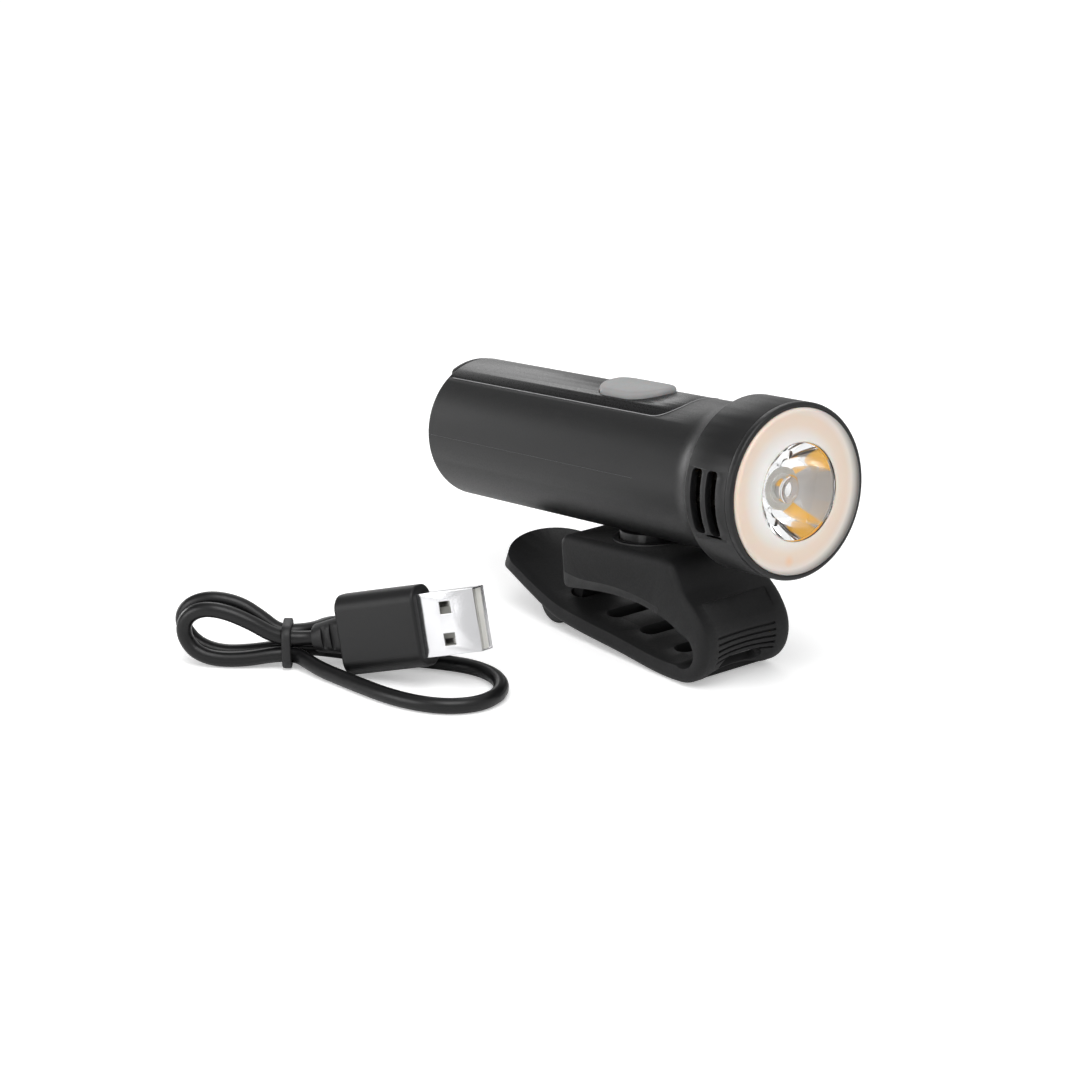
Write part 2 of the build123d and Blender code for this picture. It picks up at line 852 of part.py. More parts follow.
def grip_sag(width):
    """Rise of the hollow's arc from its middle to the ends of one width."""
    return grip_arc - (grip_arc ** 2 - width ** 2 / 4) ** 0.5


def grip_plane(angle):
    """Plane through the bend's axis, with its y direction out of the strap at one angle."""
    turn = radians(angle)
    return Plane(origin=(0, bend_y, bend_z), x_dir=(1, 0, 0), z_dir=(0, sin(turn), -cos(turn)))


def grip_section(angle, width, depth):
    """Section of a hollow across the strap: an arc that is open outwards."""
    edge = bend_radius - depth + grip_sag(width)
    with BuildSketch(grip_plane(angle)) as section:
        with BuildLine():
            ThreePointArc((-width / 2, edge), (0, bend_radius - depth), (width / 2, edge))
            Polyline(
                (width / 2, edge),
                (width / 2, bend_radius + 2),
                (-width / 2, bend_radius + 2),
                (-width / 2, edge),
            )
        make_face()
    return section.sketch


# Side outline of the strap: saddle, front bend, bottom wall and tail
neck_foot = bend_point(-neck_slope, bend_radius)
bend_bottom = (bend_y, bend_z - bend_radius)
outer_floor = near_swivel(floor_middle)
outer_foot = near_tail(tail_foot)
outer_bend = near_tail(tail_bend)
outer_tip = near_tail(tail_tip)
inner_tip = through_wall(outer_tip, tail_slope, tail_thickness)
inner_bend = through_wall(outer_bend, tail_bend_slope, (strap_wall + tail_thickness) / 2)
inner_foot = through_wall(outer_foot, tail_foot_slope, strap_wall)
inner_floor = through_wall(outer_floor, floor_slope, strap_wall)
inner_bottom = bend_point(90, bend_radius - strap_wall)
roof_start = (bend_y + roof_front[0], bend_z + roof_front[1])
roof_end = near_tail(roof_rear)
mouth_top = (saddle_rear, skin_level - loop_mouth)
tail_out = Vector(0, sin(radians(tail_slope)), -cos(radians(tail_slope)))
with BuildPart() as strap:
    with BuildSketch(Plane.YZ):
        with BuildLine():
            Line(saddle_foot, (saddle_rear, skin_level - saddle_corner))
            RadiusArc(
                (saddle_rear, skin_level - saddle_corner),
                (saddle_rear - saddle_corner, skin_level),
                -saddle_corner,
            )
            Line((saddle_rear - saddle_corner, skin_level), (saddle_front, skin_level))
            Spline(
                [(saddle_front, skin_level), near_swivel(shoulder), near_swivel(neck), neck_foot],
                tangents=[(-1, 0), (-sin(radians(neck_slope)), -cos(radians(neck_slope)))],
            )
            ThreePointArc(neck_foot, bend_point(30, bend_radius), bend_bottom)
            Spline(
                [bend_bottom, outer_floor, outer_foot],
                tangents=[(1, 0), heading(tail_foot_slope)],
            )
            Spline(
                [outer_foot, outer_bend, outer_tip],
                tangents=[heading(tail_foot_slope), heading(tail_slope)],
            )
            Polyline(
                outer_tip,
                through_wall(outer_tip, tail_slope, 2 * tail_thickness),
                saddle_foot,
            )
        make_face()
    extrude(amount=strap_width / 2, both=True)
    side_faces = strap.faces().filter_by(Axis.X)
    fillet(side_faces.edges(), strap_edge)
    # The loop that the handlebar fills, open behind the saddle
    with BuildSketch(Plane.YZ):
        with BuildLine():
            Spline(
                [inner_tip, inner_bend, inner_foot],
                tangents=[heading(tail_slope, -1), heading(tail_foot_slope, -1)],
            )
            Spline(
                [inner_foot, inner_floor, inner_bottom],
                tangents=[heading(tail_foot_slope, -1), (-1, 0)],
            )
            ThreePointArc(inner_bottom, bend_point(13, bend_radius - bend_wall), roof_start)
            Spline([roof_start, *[near_swivel(spot) for spot in roof_points], roof_end])
            ThreePointArc(roof_end, near_tail(roof_corner), mouth_top)
            Polyline(
                mouth_top,
                (saddle_rear + 2, skin_level - loop_mouth / 2),
                through_wall(inner_tip, tail_slope, loop_mouth),
                (inner_tip[0] + 3 * cos(radians(tail_slope)), inner_tip[1] + 3 * sin(radians(tail_slope))),
                inner_tip,
            )
        make_face()
    extrude(amount=strap_width, both=True, mode=Mode.SUBTRACT)
    # The tail ends in a rounded tongue
    with BuildSketch(Plane(origin=(0, *outer_tip), x_dir=(1, 0, 0), z_dir=tail_out)):
        Rectangle(2 * strap_width, 2 * tongue_length)
        with Locations((0, tongue_length)):
            Ellipse(strap_width / 2, tongue_length, mode=Mode.SUBTRACT)
    extrude(amount=3 * tail_thickness, both=True, mode=Mode.SUBTRACT)
    # A hollow down the front for the fingers, ended by a ledge, with grooves across it
    bend_axis = Axis((0, bend_y, bend_z), (1, 0, 0))
    hollow = grip_section(-neck_slope, grip_width, grip_depth)
    extrude(
        hollow,
        amount=grip_rise,
        dir=(0, sin(radians(grip_rise_slope)), cos(radians(grip_rise_slope))),
        mode=Mode.SUBTRACT,
    )
    revolve(hollow, axis=bend_axis, revolution_arc=grip_end_angle + neck_slope, mode=Mode.SUBTRACT)
    for number in range(groove_count):
        groove = grip_section(
            groove_first + number * groove_step,
            groove_width,
            grip_depth + groove_depth,
        )
        revolve(groove, axis=bend_axis, revolution_arc=groove_angle, mode=Mode.SUBTRACT)
    # Slots across the bottom wall and one across the bend
    slot_places_y = [bend_y + strap_slot_stand + n * strap_slot_step for n in range(strap_slot_count)]
    with BuildSketch(Plane.XY.offset(bend_bottom[1] - 1)):
        with Locations([(0, place) for place in slot_places_y]):
            SlotOverall(strap_slot_width, strap_slot_length)
    extrude(amount=strap_wall + 5.5, mode=Mode.SUBTRACT)
    slot_at = bend_point(bend_slot_angle, bend_radius)
    slot_out = (0, -cos(radians(bend_slot_angle)), -sin(radians(bend_slot_angle)))
    with BuildSketch(Plane(origin=(0, *slot_at), x_dir=(1, 0, 0), z_dir=slot_out)):
        SlotOverall(bend_slot_width, bend_slot_length)
    extrude(amount=strap_wall + 0.6, both=True, mode=Mode.SUBTRACT)

# Core: the stiff moulding inside the saddle, with the swivel's bearing and the strap's hook
arm_line = [near_tail(spot) for spot in hook_arm_points]
arm_top, arm_foot = arm_line[2], arm_line[3]
hook_centre = near_tail(hook_place)
skin_under = skin_level - skin_top
block_half = strap_width / 2 - skin_side
block_front = saddle_front + block_inset
block_rear = saddle_rear - skin_side
flange_line = [near_tail(spot) for spot in flange_points]
flange_level = skin_level - flange_depth
collar_radius = foot_radius + running_gap
collar_top = skin_level + collar_stand
with BuildPart() as core_block:
    with BuildSketch(Plane.YZ):
        Polygon(
            (block_front, skin_under),
            (block_rear, skin_under),
            (block_rear, saddle_foot[1]),
            (block_front, saddle_foot[1]),
            align=None,
        )
    extrude(amount=block_half, both=True)
    # The flange under it shows below the parting line, over the strap's whole width
    with BuildSketch(Plane.YZ):
        with BuildLine():
            Spline(flange_line)
            Polyline(
                flange_line[-1],
                (flange_line[-1][0], flange_level),
                (flange_line[0][0], flange_level),
                flange_line[0],
            )
        make_face()
    extrude(amount=strap_width, both=True)
    add(strap.part, mode=Mode.INTERSECT)

with BuildPart() as hook_foot:
    with BuildSketch(Plane.YZ):
        with Locations(hook_centre):
            Circle(hook_radius)
        with Locations(Location((*near_tail(hook_seat), 0), hook_slope)):
            Rectangle(
                4 * hook_radius,
                2 * hook_radius,
                align=(Align.CENTER, Align.MIN),
                mode=Mode.SUBTRACT,
            )
    extrude(amount=hook_width / 2, both=True)
    hook_ends = hook_foot.faces().filter_by(Axis.X).edges().filter_by(GeomType.CIRCLE)
    fillet(hook_ends, hook_edge)

with BuildPart() as mount_core:
    add(core_block.part)
    # The collar round the lamp's foot, the floor that the foot turns on, and the screw's hole
    with BuildSketch(Plane.XY.offset(skin_under)):
        with Locations((0, swivel_place)):
            Circle(collar_radius + collar_wall)
    extrude(amount=collar_top - skin_under)
    with BuildSketch(Plane.XY.offset(foot_level - running_gap)):
        with Locations((0, swivel_place)):
            Circle(collar_radius)
    extrude(amount=tube_radius, mode=Mode.SUBTRACT)
    with BuildSketch(Plane.XY.offset(foot_level)):
        with Locations((0, swivel_place)):
            Circle(pivot_radius + pivot_gap)
    extrude(amount=-strap_width, mode=Mode.SUBTRACT)
    with BuildSketch(Plane.XY.offset(web_under)):
        with Locations((0, swivel_place)):
            Circle(pivot_head_radius + 0.6)
    extrude(amount=-strap_width, mode=Mode.SUBTRACT)
    # The hook's arm goes down through the strap and ends in a rounded foot under its tail
    with BuildSketch(Plane.YZ):
        with BuildLine():
            Polyline(*arm_line)
        trace(line_width=hook_arm_thickness)
    extrude(amount=hook_arm_width / 2, both=True)
    add(hook_foot.part)

# The strap is moulded round the core: it loses the core's block, the collar's hole and a slot
# for the hook's arm, and its tail lies in a seat pressed over the hook's foot
arm_run = Vector(0, *arm_foot) - Vector(0, *arm_top)
arm_middle = (Vector(0, *arm_foot) + Vector(0, *arm_top)) / 2
with BuildPart() as hook_slot:
    with BuildSketch(Plane(origin=arm_middle, x_dir=(1, 0, 0), z_dir=arm_run)):
        SlotOverall(strap_slot_width, hook_arm_thickness + 2 * hook_slot_play)
    extrude(amount=arm_run.length / 2 + hook_radius / 2, both=True)
    with BuildSketch(Plane.XZ.offset(-saddle_rear)):
        with Locations((0, saddle_foot[1])):
            Rectangle(
                2 * strap_width,
                strap_width,
                align=(Align.CENTER, Align.MAX),
                mode=Mode.ADD,
            )
    extrude(amount=-strap_width, mode=Mode.INTERSECT)
with BuildPart() as strap_moulding:
    add(strap.part)
    add(core_block.part, mode=Mode.SUBTRACT)
    with BuildSketch(Plane.XY.offset(skin_level + 1)):
        with Locations((0, swivel_place)):
            Circle(collar_radius + collar_wall)
    extrude(amount=-(skin_top + 1), mode=Mode.SUBTRACT)
    add(hook_slot.part, mode=Mode.SUBTRACT)
    add(hook_foot.part, mode=Mode.SUBTRACT)
    add(mount_core.part, mode=Mode.SUBTRACT)
keep(mount_core, "mount_core")
keep(strap_moulding, "strap")

# The lamp stands nose up on the strap's bend and the hook's foot: the floor is the line that
# touches both from below
stance_run = hook_centre[0] - bend_y
stance_rise = hook_centre[1] - bend_z
stance_length = (stance_run ** 2 + stance_rise ** 2) ** 0.5
nose_up = degrees(asin((bend_radius - hook_radius) / stance_length) + atan2(stance_rise, stance_run))
print("nose up", round(nose_up, 3))


# The lamp is tipped nose up on its strap, with the middle of its footprint at the origin
tipped = Rot(-nose_up, 0, 0)
stood = {name: tipped * piece for name, piece in pieces.items()}
boxes = [piece.bounding_box() for piece in stood.values()]
front_end = min(box.min.Y for box in boxes)
rear_end = max(box.max.Y for box in boxes)
lowest = min(box.min.Z for box in boxes)
stand = Pos(0, -(front_end + rear_end) / 2, -lowest) * tipped
print("stood by", round(-(front_end + rear_end) / 2, 4), round(-lowest, 4))

# Charge cable: its plug lies against the loops, and its route is a list of chosen points
plug_face = Vector(*plug_place)
plug_ahead = Vector(0.4581, -0.8521, 0.2530)
plug_across = Vector(-0.0444, -0.3062, -0.9509)
grip_length, grip_width_usb, grip_height = plug_grip
shell_width, shell_height, shell_length = plug_shell
grip_plane = Plane(origin=plug_face, x_dir=plug_across, z_dir=plug_ahead)
relief_plane = grip_plane.offset(-grip_length)
shell_plane = grip_plane.offset(-plug_shell_root)
cord_radius = cord_diameter / 2
device_exit = Vector(*device_place)
device_ahead = Vector(0.56, -0.83, 0).normalized()

with BuildPart() as usb_plug_grip:
    with BuildSketch(grip_plane):
        RectangleRounded(grip_width_usb, grip_height, plug_grip_edge)
    extrude(amount=-grip_length)
    grip_ends = usb_plug_grip.faces().filter_by(lambda face: abs(face.normal_at().dot(plug_ahead)) > 0.99)
    fillet(grip_ends.edges(), 0.6)
    with BuildSketch(relief_plane):
        RectangleRounded(*relief_size)
    with BuildSketch(relief_plane.offset(-plug_relief)):
        Circle(plug_relief_radius - 0.15)
    loft()
    for height in (-1.4, -3.4):
        with BuildSketch(relief_plane.offset(height)):
            with Locations((0, 3.6), (0, -3.6)):
                Rectangle(5.0, 2.6)
        extrude(amount=-0.9, mode=Mode.SUBTRACT)
    with BuildSketch(relief_plane.offset(-plug_relief)):
        Circle(cord_radius + fit_gap)
    extrude(amount=cord_insertion + 2 * fit_gap, mode=Mode.SUBTRACT)
    with BuildSketch(shell_plane):
        Rectangle(shell_width, shell_height)
    extrude(amount=plug_shell_root, mode=Mode.SUBTRACT)

with BuildPart() as usb_plug_shell:
    with BuildSketch(shell_plane):
        Rectangle(shell_width, shell_height)
        Rectangle(
            shell_width - 2 * plug_shell_wall,
            shell_height - 2 * plug_shell_wall,
            mode=Mode.SUBTRACT,
        )
    extrude(amount=plug_shell_root + shell_length)
    # Two square latch holes in each broad side
    with BuildSketch(grip_plane.offset(latch_place)):
        with Locations((-latch_spread, 0), (latch_spread, 0)):
            Rectangle(latch_hole, 2 * shell_height)
    extrude(amount=latch_hole / 2, both=True, mode=Mode.SUBTRACT)

with BuildPart() as usb_plug_insert:
    inside_width = shell_width - 2 * plug_shell_wall
    inside_height = shell_height - 2 * plug_shell_wall
    with BuildSketch(shell_plane):
        Rectangle(inside_width, inside_height)
    extrude(amount=plug_shell_root + 0.5)
    with BuildSketch(grip_plane):
        with Locations((0, inside_height / 2)):
            Rectangle(inside_width, tongue_height, align=(Align.CENTER, Align.MAX))
    extrude(amount=shell_length - 0.6)

with BuildPart() as usb_plug_contacts:
    with BuildSketch(grip_plane.offset(0.5)):
        with Locations(*[(x, inside_height / 2 - tongue_height) for x in contact_places]):
            Rectangle(*contact_size, align=(Align.CENTER, Align.MAX))
    extrude(amount=shell_length - 2.6)

# The plug at the cable's other end, which fits the lamp's charge port, lies on its edge
device_plane = Plane(origin=device_exit, x_dir=(0, 0, 1), z_dir=device_ahead)
device_length, device_height, device_width = device_grip
tip_width, tip_height, tip_length = device_shell
tip_root = device_plane.offset(device_length - device_shell_root)
with BuildPart() as device_plug_grip:
    with BuildSketch(device_plane):
        RectangleRounded(device_height, device_width, device_grip_edge)
    extrude(amount=device_length)
    grip_ends = device_plug_grip.faces().filter_by(lambda face: abs(face.normal_at().dot(device_ahead)) > 0.99)
    fillet(grip_ends.edges(), 0.5)
    with BuildSketch(device_plane):
        Circle(cord_radius + fit_gap)
    extrude(amount=cord_insertion + 2 * fit_gap, mode=Mode.SUBTRACT)
    with BuildSketch(device_plane.offset(device_length)):
        Rectangle(tip_width, tip_height)
    extrude(amount=-device_shell_root, mode=Mode.SUBTRACT)

with BuildPart() as device_plug_shell:
    with BuildSketch(tip_root):
        Trapezoid(tip_width, tip_height, 60)
        offset(amount=-plug_shell_wall, mode=Mode.SUBTRACT)
    extrude(amount=device_shell_root + tip_length)
    with BuildSketch(tip_root):
        Trapezoid(tip_width, tip_height, 60)
    extrude(amount=device_shell_root - 0.4)

relief_end = plug_face - plug_ahead * (grip_length + plug_relief)
route = [
    relief_end + plug_ahead * cord_insertion,
    relief_end - plug_ahead * 1.9,
    (-65.0, 27.2, 6.0),
    (-68.9, 30.7, 9.2),
    (-72.8, 34.6, 11.3),
    (-75.8, 38.0, 11.2),
    (-77.6, 40.2, 8.8),
    (-77.9, 40.0, 5.6),
    (-76.8, 38.2, 2.8),
    (-74.4, 35.2, 1.5),
    (-70.2, 31.2, 1.6),
    (-65.0, 27.2, 2.7),
    (-62.0, 24.8, 2.5),
    (-61.8, 21.2, 2.0),
    (-61.6, 17.0, 1.6),
    (-60.9, 11.4, 1.5),
    (-60.3, 5.2, 1.5),
    (-59.4, -1.2, 1.5),
    (-57.4, -7.4, 1.5),
    (-53.9, -12.4, 1.5),
    (-48.8, -14.9, 1.5),
    (-43.4, -13.9, 1.5),
    (-39.4, -10.2, 1.5),
    (-37.5, -5.0, 1.5),
    (-38.0, 0.4, 1.5),
    (-40.4, 5.2, 1.5),
    (-43.6, 9.8, 1.5),
    (-47.0, 14.4, 1.5),
    (-50.4, 19.0, 1.6),
    (-54.0, 23.0, 2.0),
    (-57.2, 25.8, 2.5),
    (-60.0, 27.4, 2.7),
    (-62.9, 29.8, 2.7),
    (-67.0, 33.4, 1.8),
    (-71.0, 36.9, 1.5),
    (-74.0, 40.3, 2.6),
    (-75.6, 43.0, 5.2),
    (-75.8, 44.0, 8.0),
    (-74.6, 42.8, 10.7),
    (-71.6, 39.8, 12.1),
    (-67.8, 36.0, 11.2),
    (-65.2, 32.8, 8.8),
    (-62.9, 29.8, 6.0),
    (-59.9, 27.5, 6.0),
    (-56.4, 27.0, 5.8),
    (-53.0, 28.2, 5.6),
    device_exit - device_ahead * 2.4,
    device_exit + device_ahead * cord_insertion,
]
route = [Vector(point) for point in route]


def arc_radius(before, corner, after):
    """Largest radius that the two runs at one corner of the cable leave room for."""
    run_in = corner - before
    run_out = after - corner
    turn = radians(run_in.get_angle(run_out))
    return 0.45 * min(run_in.length, run_out.length) / tan(turn / 2)


arc_radii = [arc_radius(*route[n - 1:n + 2]) for n in range(1, len(route) - 1)]
print("cable arc radii", [round(radius, 1) for radius in arc_radii])
runs = [(after - before).length for before, after in zip(route, route[1:])]
print("cable length", round(sum(runs), 1))
with BuildPart() as charge_cord:
    with BuildLine() as cable_run:
        FilletPolyline(*route, radius=arc_radii)
    with BuildSketch(Plane(origin=route[0], z_dir=route[1] - route[0])):
        Circle(cord_radius)
    sweep()

# Rubber ring that ties the loops of the cable
tie_centre = Vector(*tie_place, tie_inside[1] / 2 + tie_wall)
tie_along = Vector(0.78, -0.62, 0)
with BuildPart() as cord_tie:
    with BuildSketch(Plane(origin=tie_centre, x_dir=(0.62, 0.78, 0), z_dir=tie_along)):
        RectangleRounded(
            tie_inside[0] + 2 * tie_wall,
            tie_inside[1] + 2 * tie_wall,
            tie_corner + tie_wall,
        )
        RectangleRounded(*tie_inside, tie_corner, mode=Mode.SUBTRACT)
    extrude(amount=tie_width / 2, both=True)

os.makedirs("parts", exist_ok=True)
for name, piece in pieces.items():
    placed = stand * piece
    placed.label = name
    export_step(placed, f"parts/{name}.step")

usb_plug_grip.part.label = "usb_plug_grip"
export_step(usb_plug_grip.part, "parts/usb_plug_grip.step")
usb_plug_shell.part.label = "usb_plug_shell"
export_step(usb_plug_shell.part, "parts/usb_plug_shell.step")
usb_plug_insert.part.label = "usb_plug_insert"
export_step(usb_plug_insert.part, "parts/usb_plug_insert.step")
usb_plug_contacts.part.label = "usb_plug_contacts"
export_step(usb_plug_contacts.part, "parts/usb_plug_contacts.step")
device_plug_grip.part.label = "device_plug_grip"
export_step(device_plug_grip.part, "parts/device_plug_grip.step")
device_plug_shell.part.label = "device_plug_shell"
export_step(device_plug_shell.part, "parts/device_plug_shell.step")
charge_cord.part.label = "charge_cord"
export_step(charge_cord.part, "parts/charge_cord.step")
cord_tie.part.label = "cord_tie"
export_step(cord_tie.part, "parts/cord_tie.step")
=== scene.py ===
"""Studio scene of a rechargeable bicycle headlight on its silicone handlebar strap, with its charge cable.

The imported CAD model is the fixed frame. This script gives every surface its finish, replaces the optic's
turned pieces and the cable's jacket with smoother ones, adds the housing's fine seams, and sets the floor,
the light and the camera.
"""

from __future__ import annotations

import json
import logging
import math
from dataclasses import dataclass
from enum import Enum
from typing import Any, Sequence

import bmesh
import bpy
from mathutils import Matrix, Vector

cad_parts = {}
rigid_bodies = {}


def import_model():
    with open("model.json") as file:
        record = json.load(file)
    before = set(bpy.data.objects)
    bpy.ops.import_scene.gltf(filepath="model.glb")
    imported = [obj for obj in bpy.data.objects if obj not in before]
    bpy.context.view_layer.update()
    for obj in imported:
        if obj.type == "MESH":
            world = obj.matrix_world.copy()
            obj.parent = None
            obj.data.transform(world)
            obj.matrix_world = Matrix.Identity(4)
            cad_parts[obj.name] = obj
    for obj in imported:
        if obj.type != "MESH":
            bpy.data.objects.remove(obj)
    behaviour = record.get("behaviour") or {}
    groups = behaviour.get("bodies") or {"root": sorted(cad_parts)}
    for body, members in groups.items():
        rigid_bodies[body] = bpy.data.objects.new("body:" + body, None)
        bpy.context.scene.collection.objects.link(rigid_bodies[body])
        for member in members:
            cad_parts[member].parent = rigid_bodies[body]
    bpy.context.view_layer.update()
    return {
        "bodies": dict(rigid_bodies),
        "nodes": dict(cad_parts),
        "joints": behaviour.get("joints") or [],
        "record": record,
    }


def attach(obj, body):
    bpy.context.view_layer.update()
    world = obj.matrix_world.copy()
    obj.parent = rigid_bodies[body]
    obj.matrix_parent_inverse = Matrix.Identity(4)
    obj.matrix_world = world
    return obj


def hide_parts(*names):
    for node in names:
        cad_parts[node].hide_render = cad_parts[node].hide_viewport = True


Frame = dict[str, Any]
Tree = bpy.types.NodeTree
Material = bpy.types.Material
Piece = bpy.types.Object
Pair = tuple[float, float]
Triple = tuple[float, float, float]
Points = list[Pair]

LOG = logging.getLogger("headlight")
MM = 0.001
IMAGE_SIDE = 1080
VECTOR_MATH = "ShaderNodeVectorMath"
# Distance under which points of a mesh are welded
WELD_GAP = 0.002 * MM
# A finish wanders in colour over patches this many grains wide
PATCH_GRAINS = 24
# Nearly all values of a noise lie in this range
NOISE_RANGE = (0.3, 0.7)


class Body(str, Enum):
    """Names of the bodies that the added pieces ride on."""

    MOUNT = "mount"
    LAMP = "lamp"


def linear(hex_colour: str) -> tuple[float, float, float, float]:
    """Turn an sRGB hex colour into the linear colour that the shader wants.

    Args:
        hex_colour: Six hex digits, without a hash.

    Returns:
        Linear red, green and blue, and an alpha of 1.
    """
    parts = [int(hex_colour[place:place + 2], 16) / 255 for place in (0, 2, 4)]
    made = [part / 12.92 if part <= 0.04045 else ((part + 0.055) / 1.055) ** 2.4 for part in parts]
    return (made[0], made[1], made[2], 1.0)


def shown(sockets: Any, name: str = "") -> Any:
    """Find a socket that is in use, since a node also keeps those of its other modes.

    Args:
        sockets: The node's inputs or outputs.
        name: The socket's name, or nothing for the first.

    Returns:
        The socket.
    """
    return next(socket for socket in sockets if socket.enabled and name in ("", socket.name))


def feed(tree: Tree, node: Any, inputs: dict[Any, Any]) -> None:
    """Fill a node's inputs.

    Args:
        tree: The node tree of a material, a world or a geometry group.
        node: One of its nodes.
        inputs: By the name or number of an input, its value or the output socket that feeds it.
    """
    for key, value in inputs.items():
        socket = node.inputs[key] if isinstance(key, int) else shown(node.inputs, key)
        if isinstance(value, bpy.types.NodeSocket):
            tree.links.new(value, socket)
        else:
            socket.default_value = value


def add_node(tree: Tree, kind: str, inputs: dict[Any, Any] | None = None, **settings: Any) -> Any:
    """Add one node to a tree, set it up and fill its inputs.

    Args:
        tree: The node tree.
        kind: The node's type name.
        inputs: What feed() takes.
        **settings: Attributes of the node.

    Returns:
        The new node.
    """
    node = tree.nodes.new(kind)
    for key, value in settings.items():
        setattr(node, key, value)
    feed(tree, node, inputs or {})
    return node


def work_out(tree: Tree, operation: str, *operands: Any, kind: str = "ShaderNodeMath") -> Any:
    """Add a node that does arithmetic.

    Args:
        tree: The node tree.
        operation: What it works out, by the node's own name for it.
        *operands: Values or output sockets, in order.
        kind: The node's type name.

    Returns:
        The socket with the result.
    """
    return shown(add_node(tree, kind, dict(enumerate(operands)), operation=operation).outputs)


def spread(tree: Tree, value: Any, given: Sequence[float], wanted: Sequence[float] = (0.0, 1.0)) -> Any:
    """Add a Map Range node.

    Args:
        tree: The node tree.
        value: The output socket with the value.
        given: Two values.
        wanted: What they become. All beyond them stays at these.

    Returns:
        The socket with the result.
    """
    ends = dict(zip(("From Min", "From Max", "To Min", "To Max"), (*given, *wanted)))
    return shown(add_node(tree, "ShaderNodeMapRange", {"Value": value, **ends}).outputs)


def tone(tree: Tree, share: Any, stops: Sequence[tuple[float, Sequence[float]]]) -> Any:
    """Add a colour ramp.

    Args:
        tree: The node tree.
        share: The output socket with the place on the ramp.
        stops: Place and linear colour of each stop, in order.

    Returns:
        The socket with the colour.
    """
    ramp = add_node(tree, "ShaderNodeValToRGB", {"Fac": share})
    elements = ramp.color_ramp.elements
    for element, (place, colour) in ((elements[0], stops[0]), (elements[1], stops[-1])):
        element.position = place
        element.color = colour
    for place, colour in stops[1:-1]:
        elements.new(place).color = colour
    return ramp.outputs["Color"]


def new_material(name: str) -> tuple[Material, Tree, Any]:
    """Start a material.

    Args:
        name: What the material is.

    Returns:
        The material, its node tree and its shader.
    """
    material = bpy.data.materials.new(name)
    material.use_nodes = True
    tree = material.node_tree
    return material, tree, tree.nodes["Principled BSDF"]


def geometry_tree(name: str, sizes: dict[str, float]) -> tuple[Tree, Any]:
    """Start a Geometry Nodes tree.

    Args:
        name: The tree's name.
        sizes: Its named inputs, with their usual values.

    Returns:
        The tree and its input node.
    """
    tree = bpy.data.node_groups.new(name, "GeometryNodeTree")
    tree.interface.new_socket("Geometry", in_out="INPUT", socket_type="NodeSocketGeometry")
    for label, value in sizes.items():
        kind = "NodeSocketInt" if isinstance(value, int) else "NodeSocketFloat"
        tree.interface.new_socket(label, in_out="INPUT", socket_type=kind).default_value = value
    tree.interface.new_socket("Geometry", in_out="OUTPUT", socket_type="NodeSocketGeometry")
    return tree, add_node(tree, "NodeGroupInput")


def end_tree(tree: Tree, geometry: Any, material: Material) -> None:
    """End a Geometry Nodes tree in Realize Instances and Set Material.

    Args:
        tree: The tree.
        geometry: The output socket with what it makes.
        material: The finish of that.
    """
    real = add_node(tree, "GeometryNodeRealizeInstances", {0: geometry})
    finish = add_node(tree, "GeometryNodeSetMaterial", {"Geometry": real.outputs[0], "Material": material})
    add_node(tree, "NodeGroupOutput", {0: finish.outputs["Geometry"]})


@dataclass(frozen=True)
class LampAxes:
    """The lamp's own axes in the row frame: across, back along the tube, and up.

    Attributes:
        origin: Centre of the bezel's front face, in metres.
        back: Unit vector along the tube, away from the lens.
        rise: Unit vector at a right angle to the tube, upwards.
    """

    origin: Vector
    back: Vector
    rise: Vector

    @classmethod
    def from_swivel(
        cls, joint: dict[str, Any], place: float = 41.0 * MM, depth: float = 16.8 * MM
    ) -> LampAxes:
        """Work the axes out from the swivel's joint.

        Args:
            joint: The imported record's swivel joint.
            place: Distance from the bezel's face back to the swivel, in metres.
            depth: Distance from the tube's axis down to the joint's point, in metres.

        Returns:
            The lamp's axes.
        """
        rise = Vector(joint["axis"]).normalized()
        back = rise.cross(Vector((1, 0, 0))).normalized()
        origin = Vector(joint["pos_m"]) - back * place + rise * depth
        return cls(origin, back, rise)

    def matrix(self) -> Matrix:
        """Give the matrix that takes lamp coordinates in metres to the row frame."""
        across = Vector((1, 0, 0))
        turn = Matrix((across, self.back, self.rise)).transposed().to_4x4()
        return Matrix.Translation(self.origin) @ turn

    def tilt(self) -> float:
        """Give the turn about X that the lamp's axes have in the row frame, in radians."""
        return math.atan2(self.back.z, self.back.y)


def add_object(name: str, data: Any) -> Piece:
    """Make an object of its data and link it to the scene.

    Args:
        name: The object's name.
        data: Its mesh, curve, light or camera.

    Returns:
        The linked object.
    """
    made = bpy.data.objects.new(name, data)
    bpy.context.scene.collection.objects.link(made)
    return made


def plain_mesh(
    name: str, points: Sequence[Vector], edges: Sequence[Any] = (), faces: Sequence[Any] = ()
) -> Piece:
    """Make a mesh object at the origin.

    Args:
        name: The piece's name.
        points: Points in the row frame, in metres.
        edges: Point numbers of each loose edge.
        faces: Point numbers of each face.

    Returns:
        The linked object.
    """
    mesh = bpy.data.meshes.new(name)
    mesh.from_pydata([tuple(point) for point in points], list(edges), list(faces))
    mesh.validate()
    return add_object(name, mesh)


def clean_normals(piece: Piece, merge: float = 0.001 * MM) -> None:
    """Merge a mesh's doubles, point its faces outwards and shade it smooth.

    Args:
        piece: The mesh object.
        merge: Distance under which points are merged, in metres.
    """
    work = bmesh.new()
    work.from_mesh(piece.data)
    bmesh.ops.remove_doubles(work, verts=work.verts, dist=merge)
    bmesh.ops.recalc_face_normals(work, faces=work.faces)
    work.to_mesh(piece.data)
    work.free()
    for face in piece.data.polygons:
        face.use_smooth = True


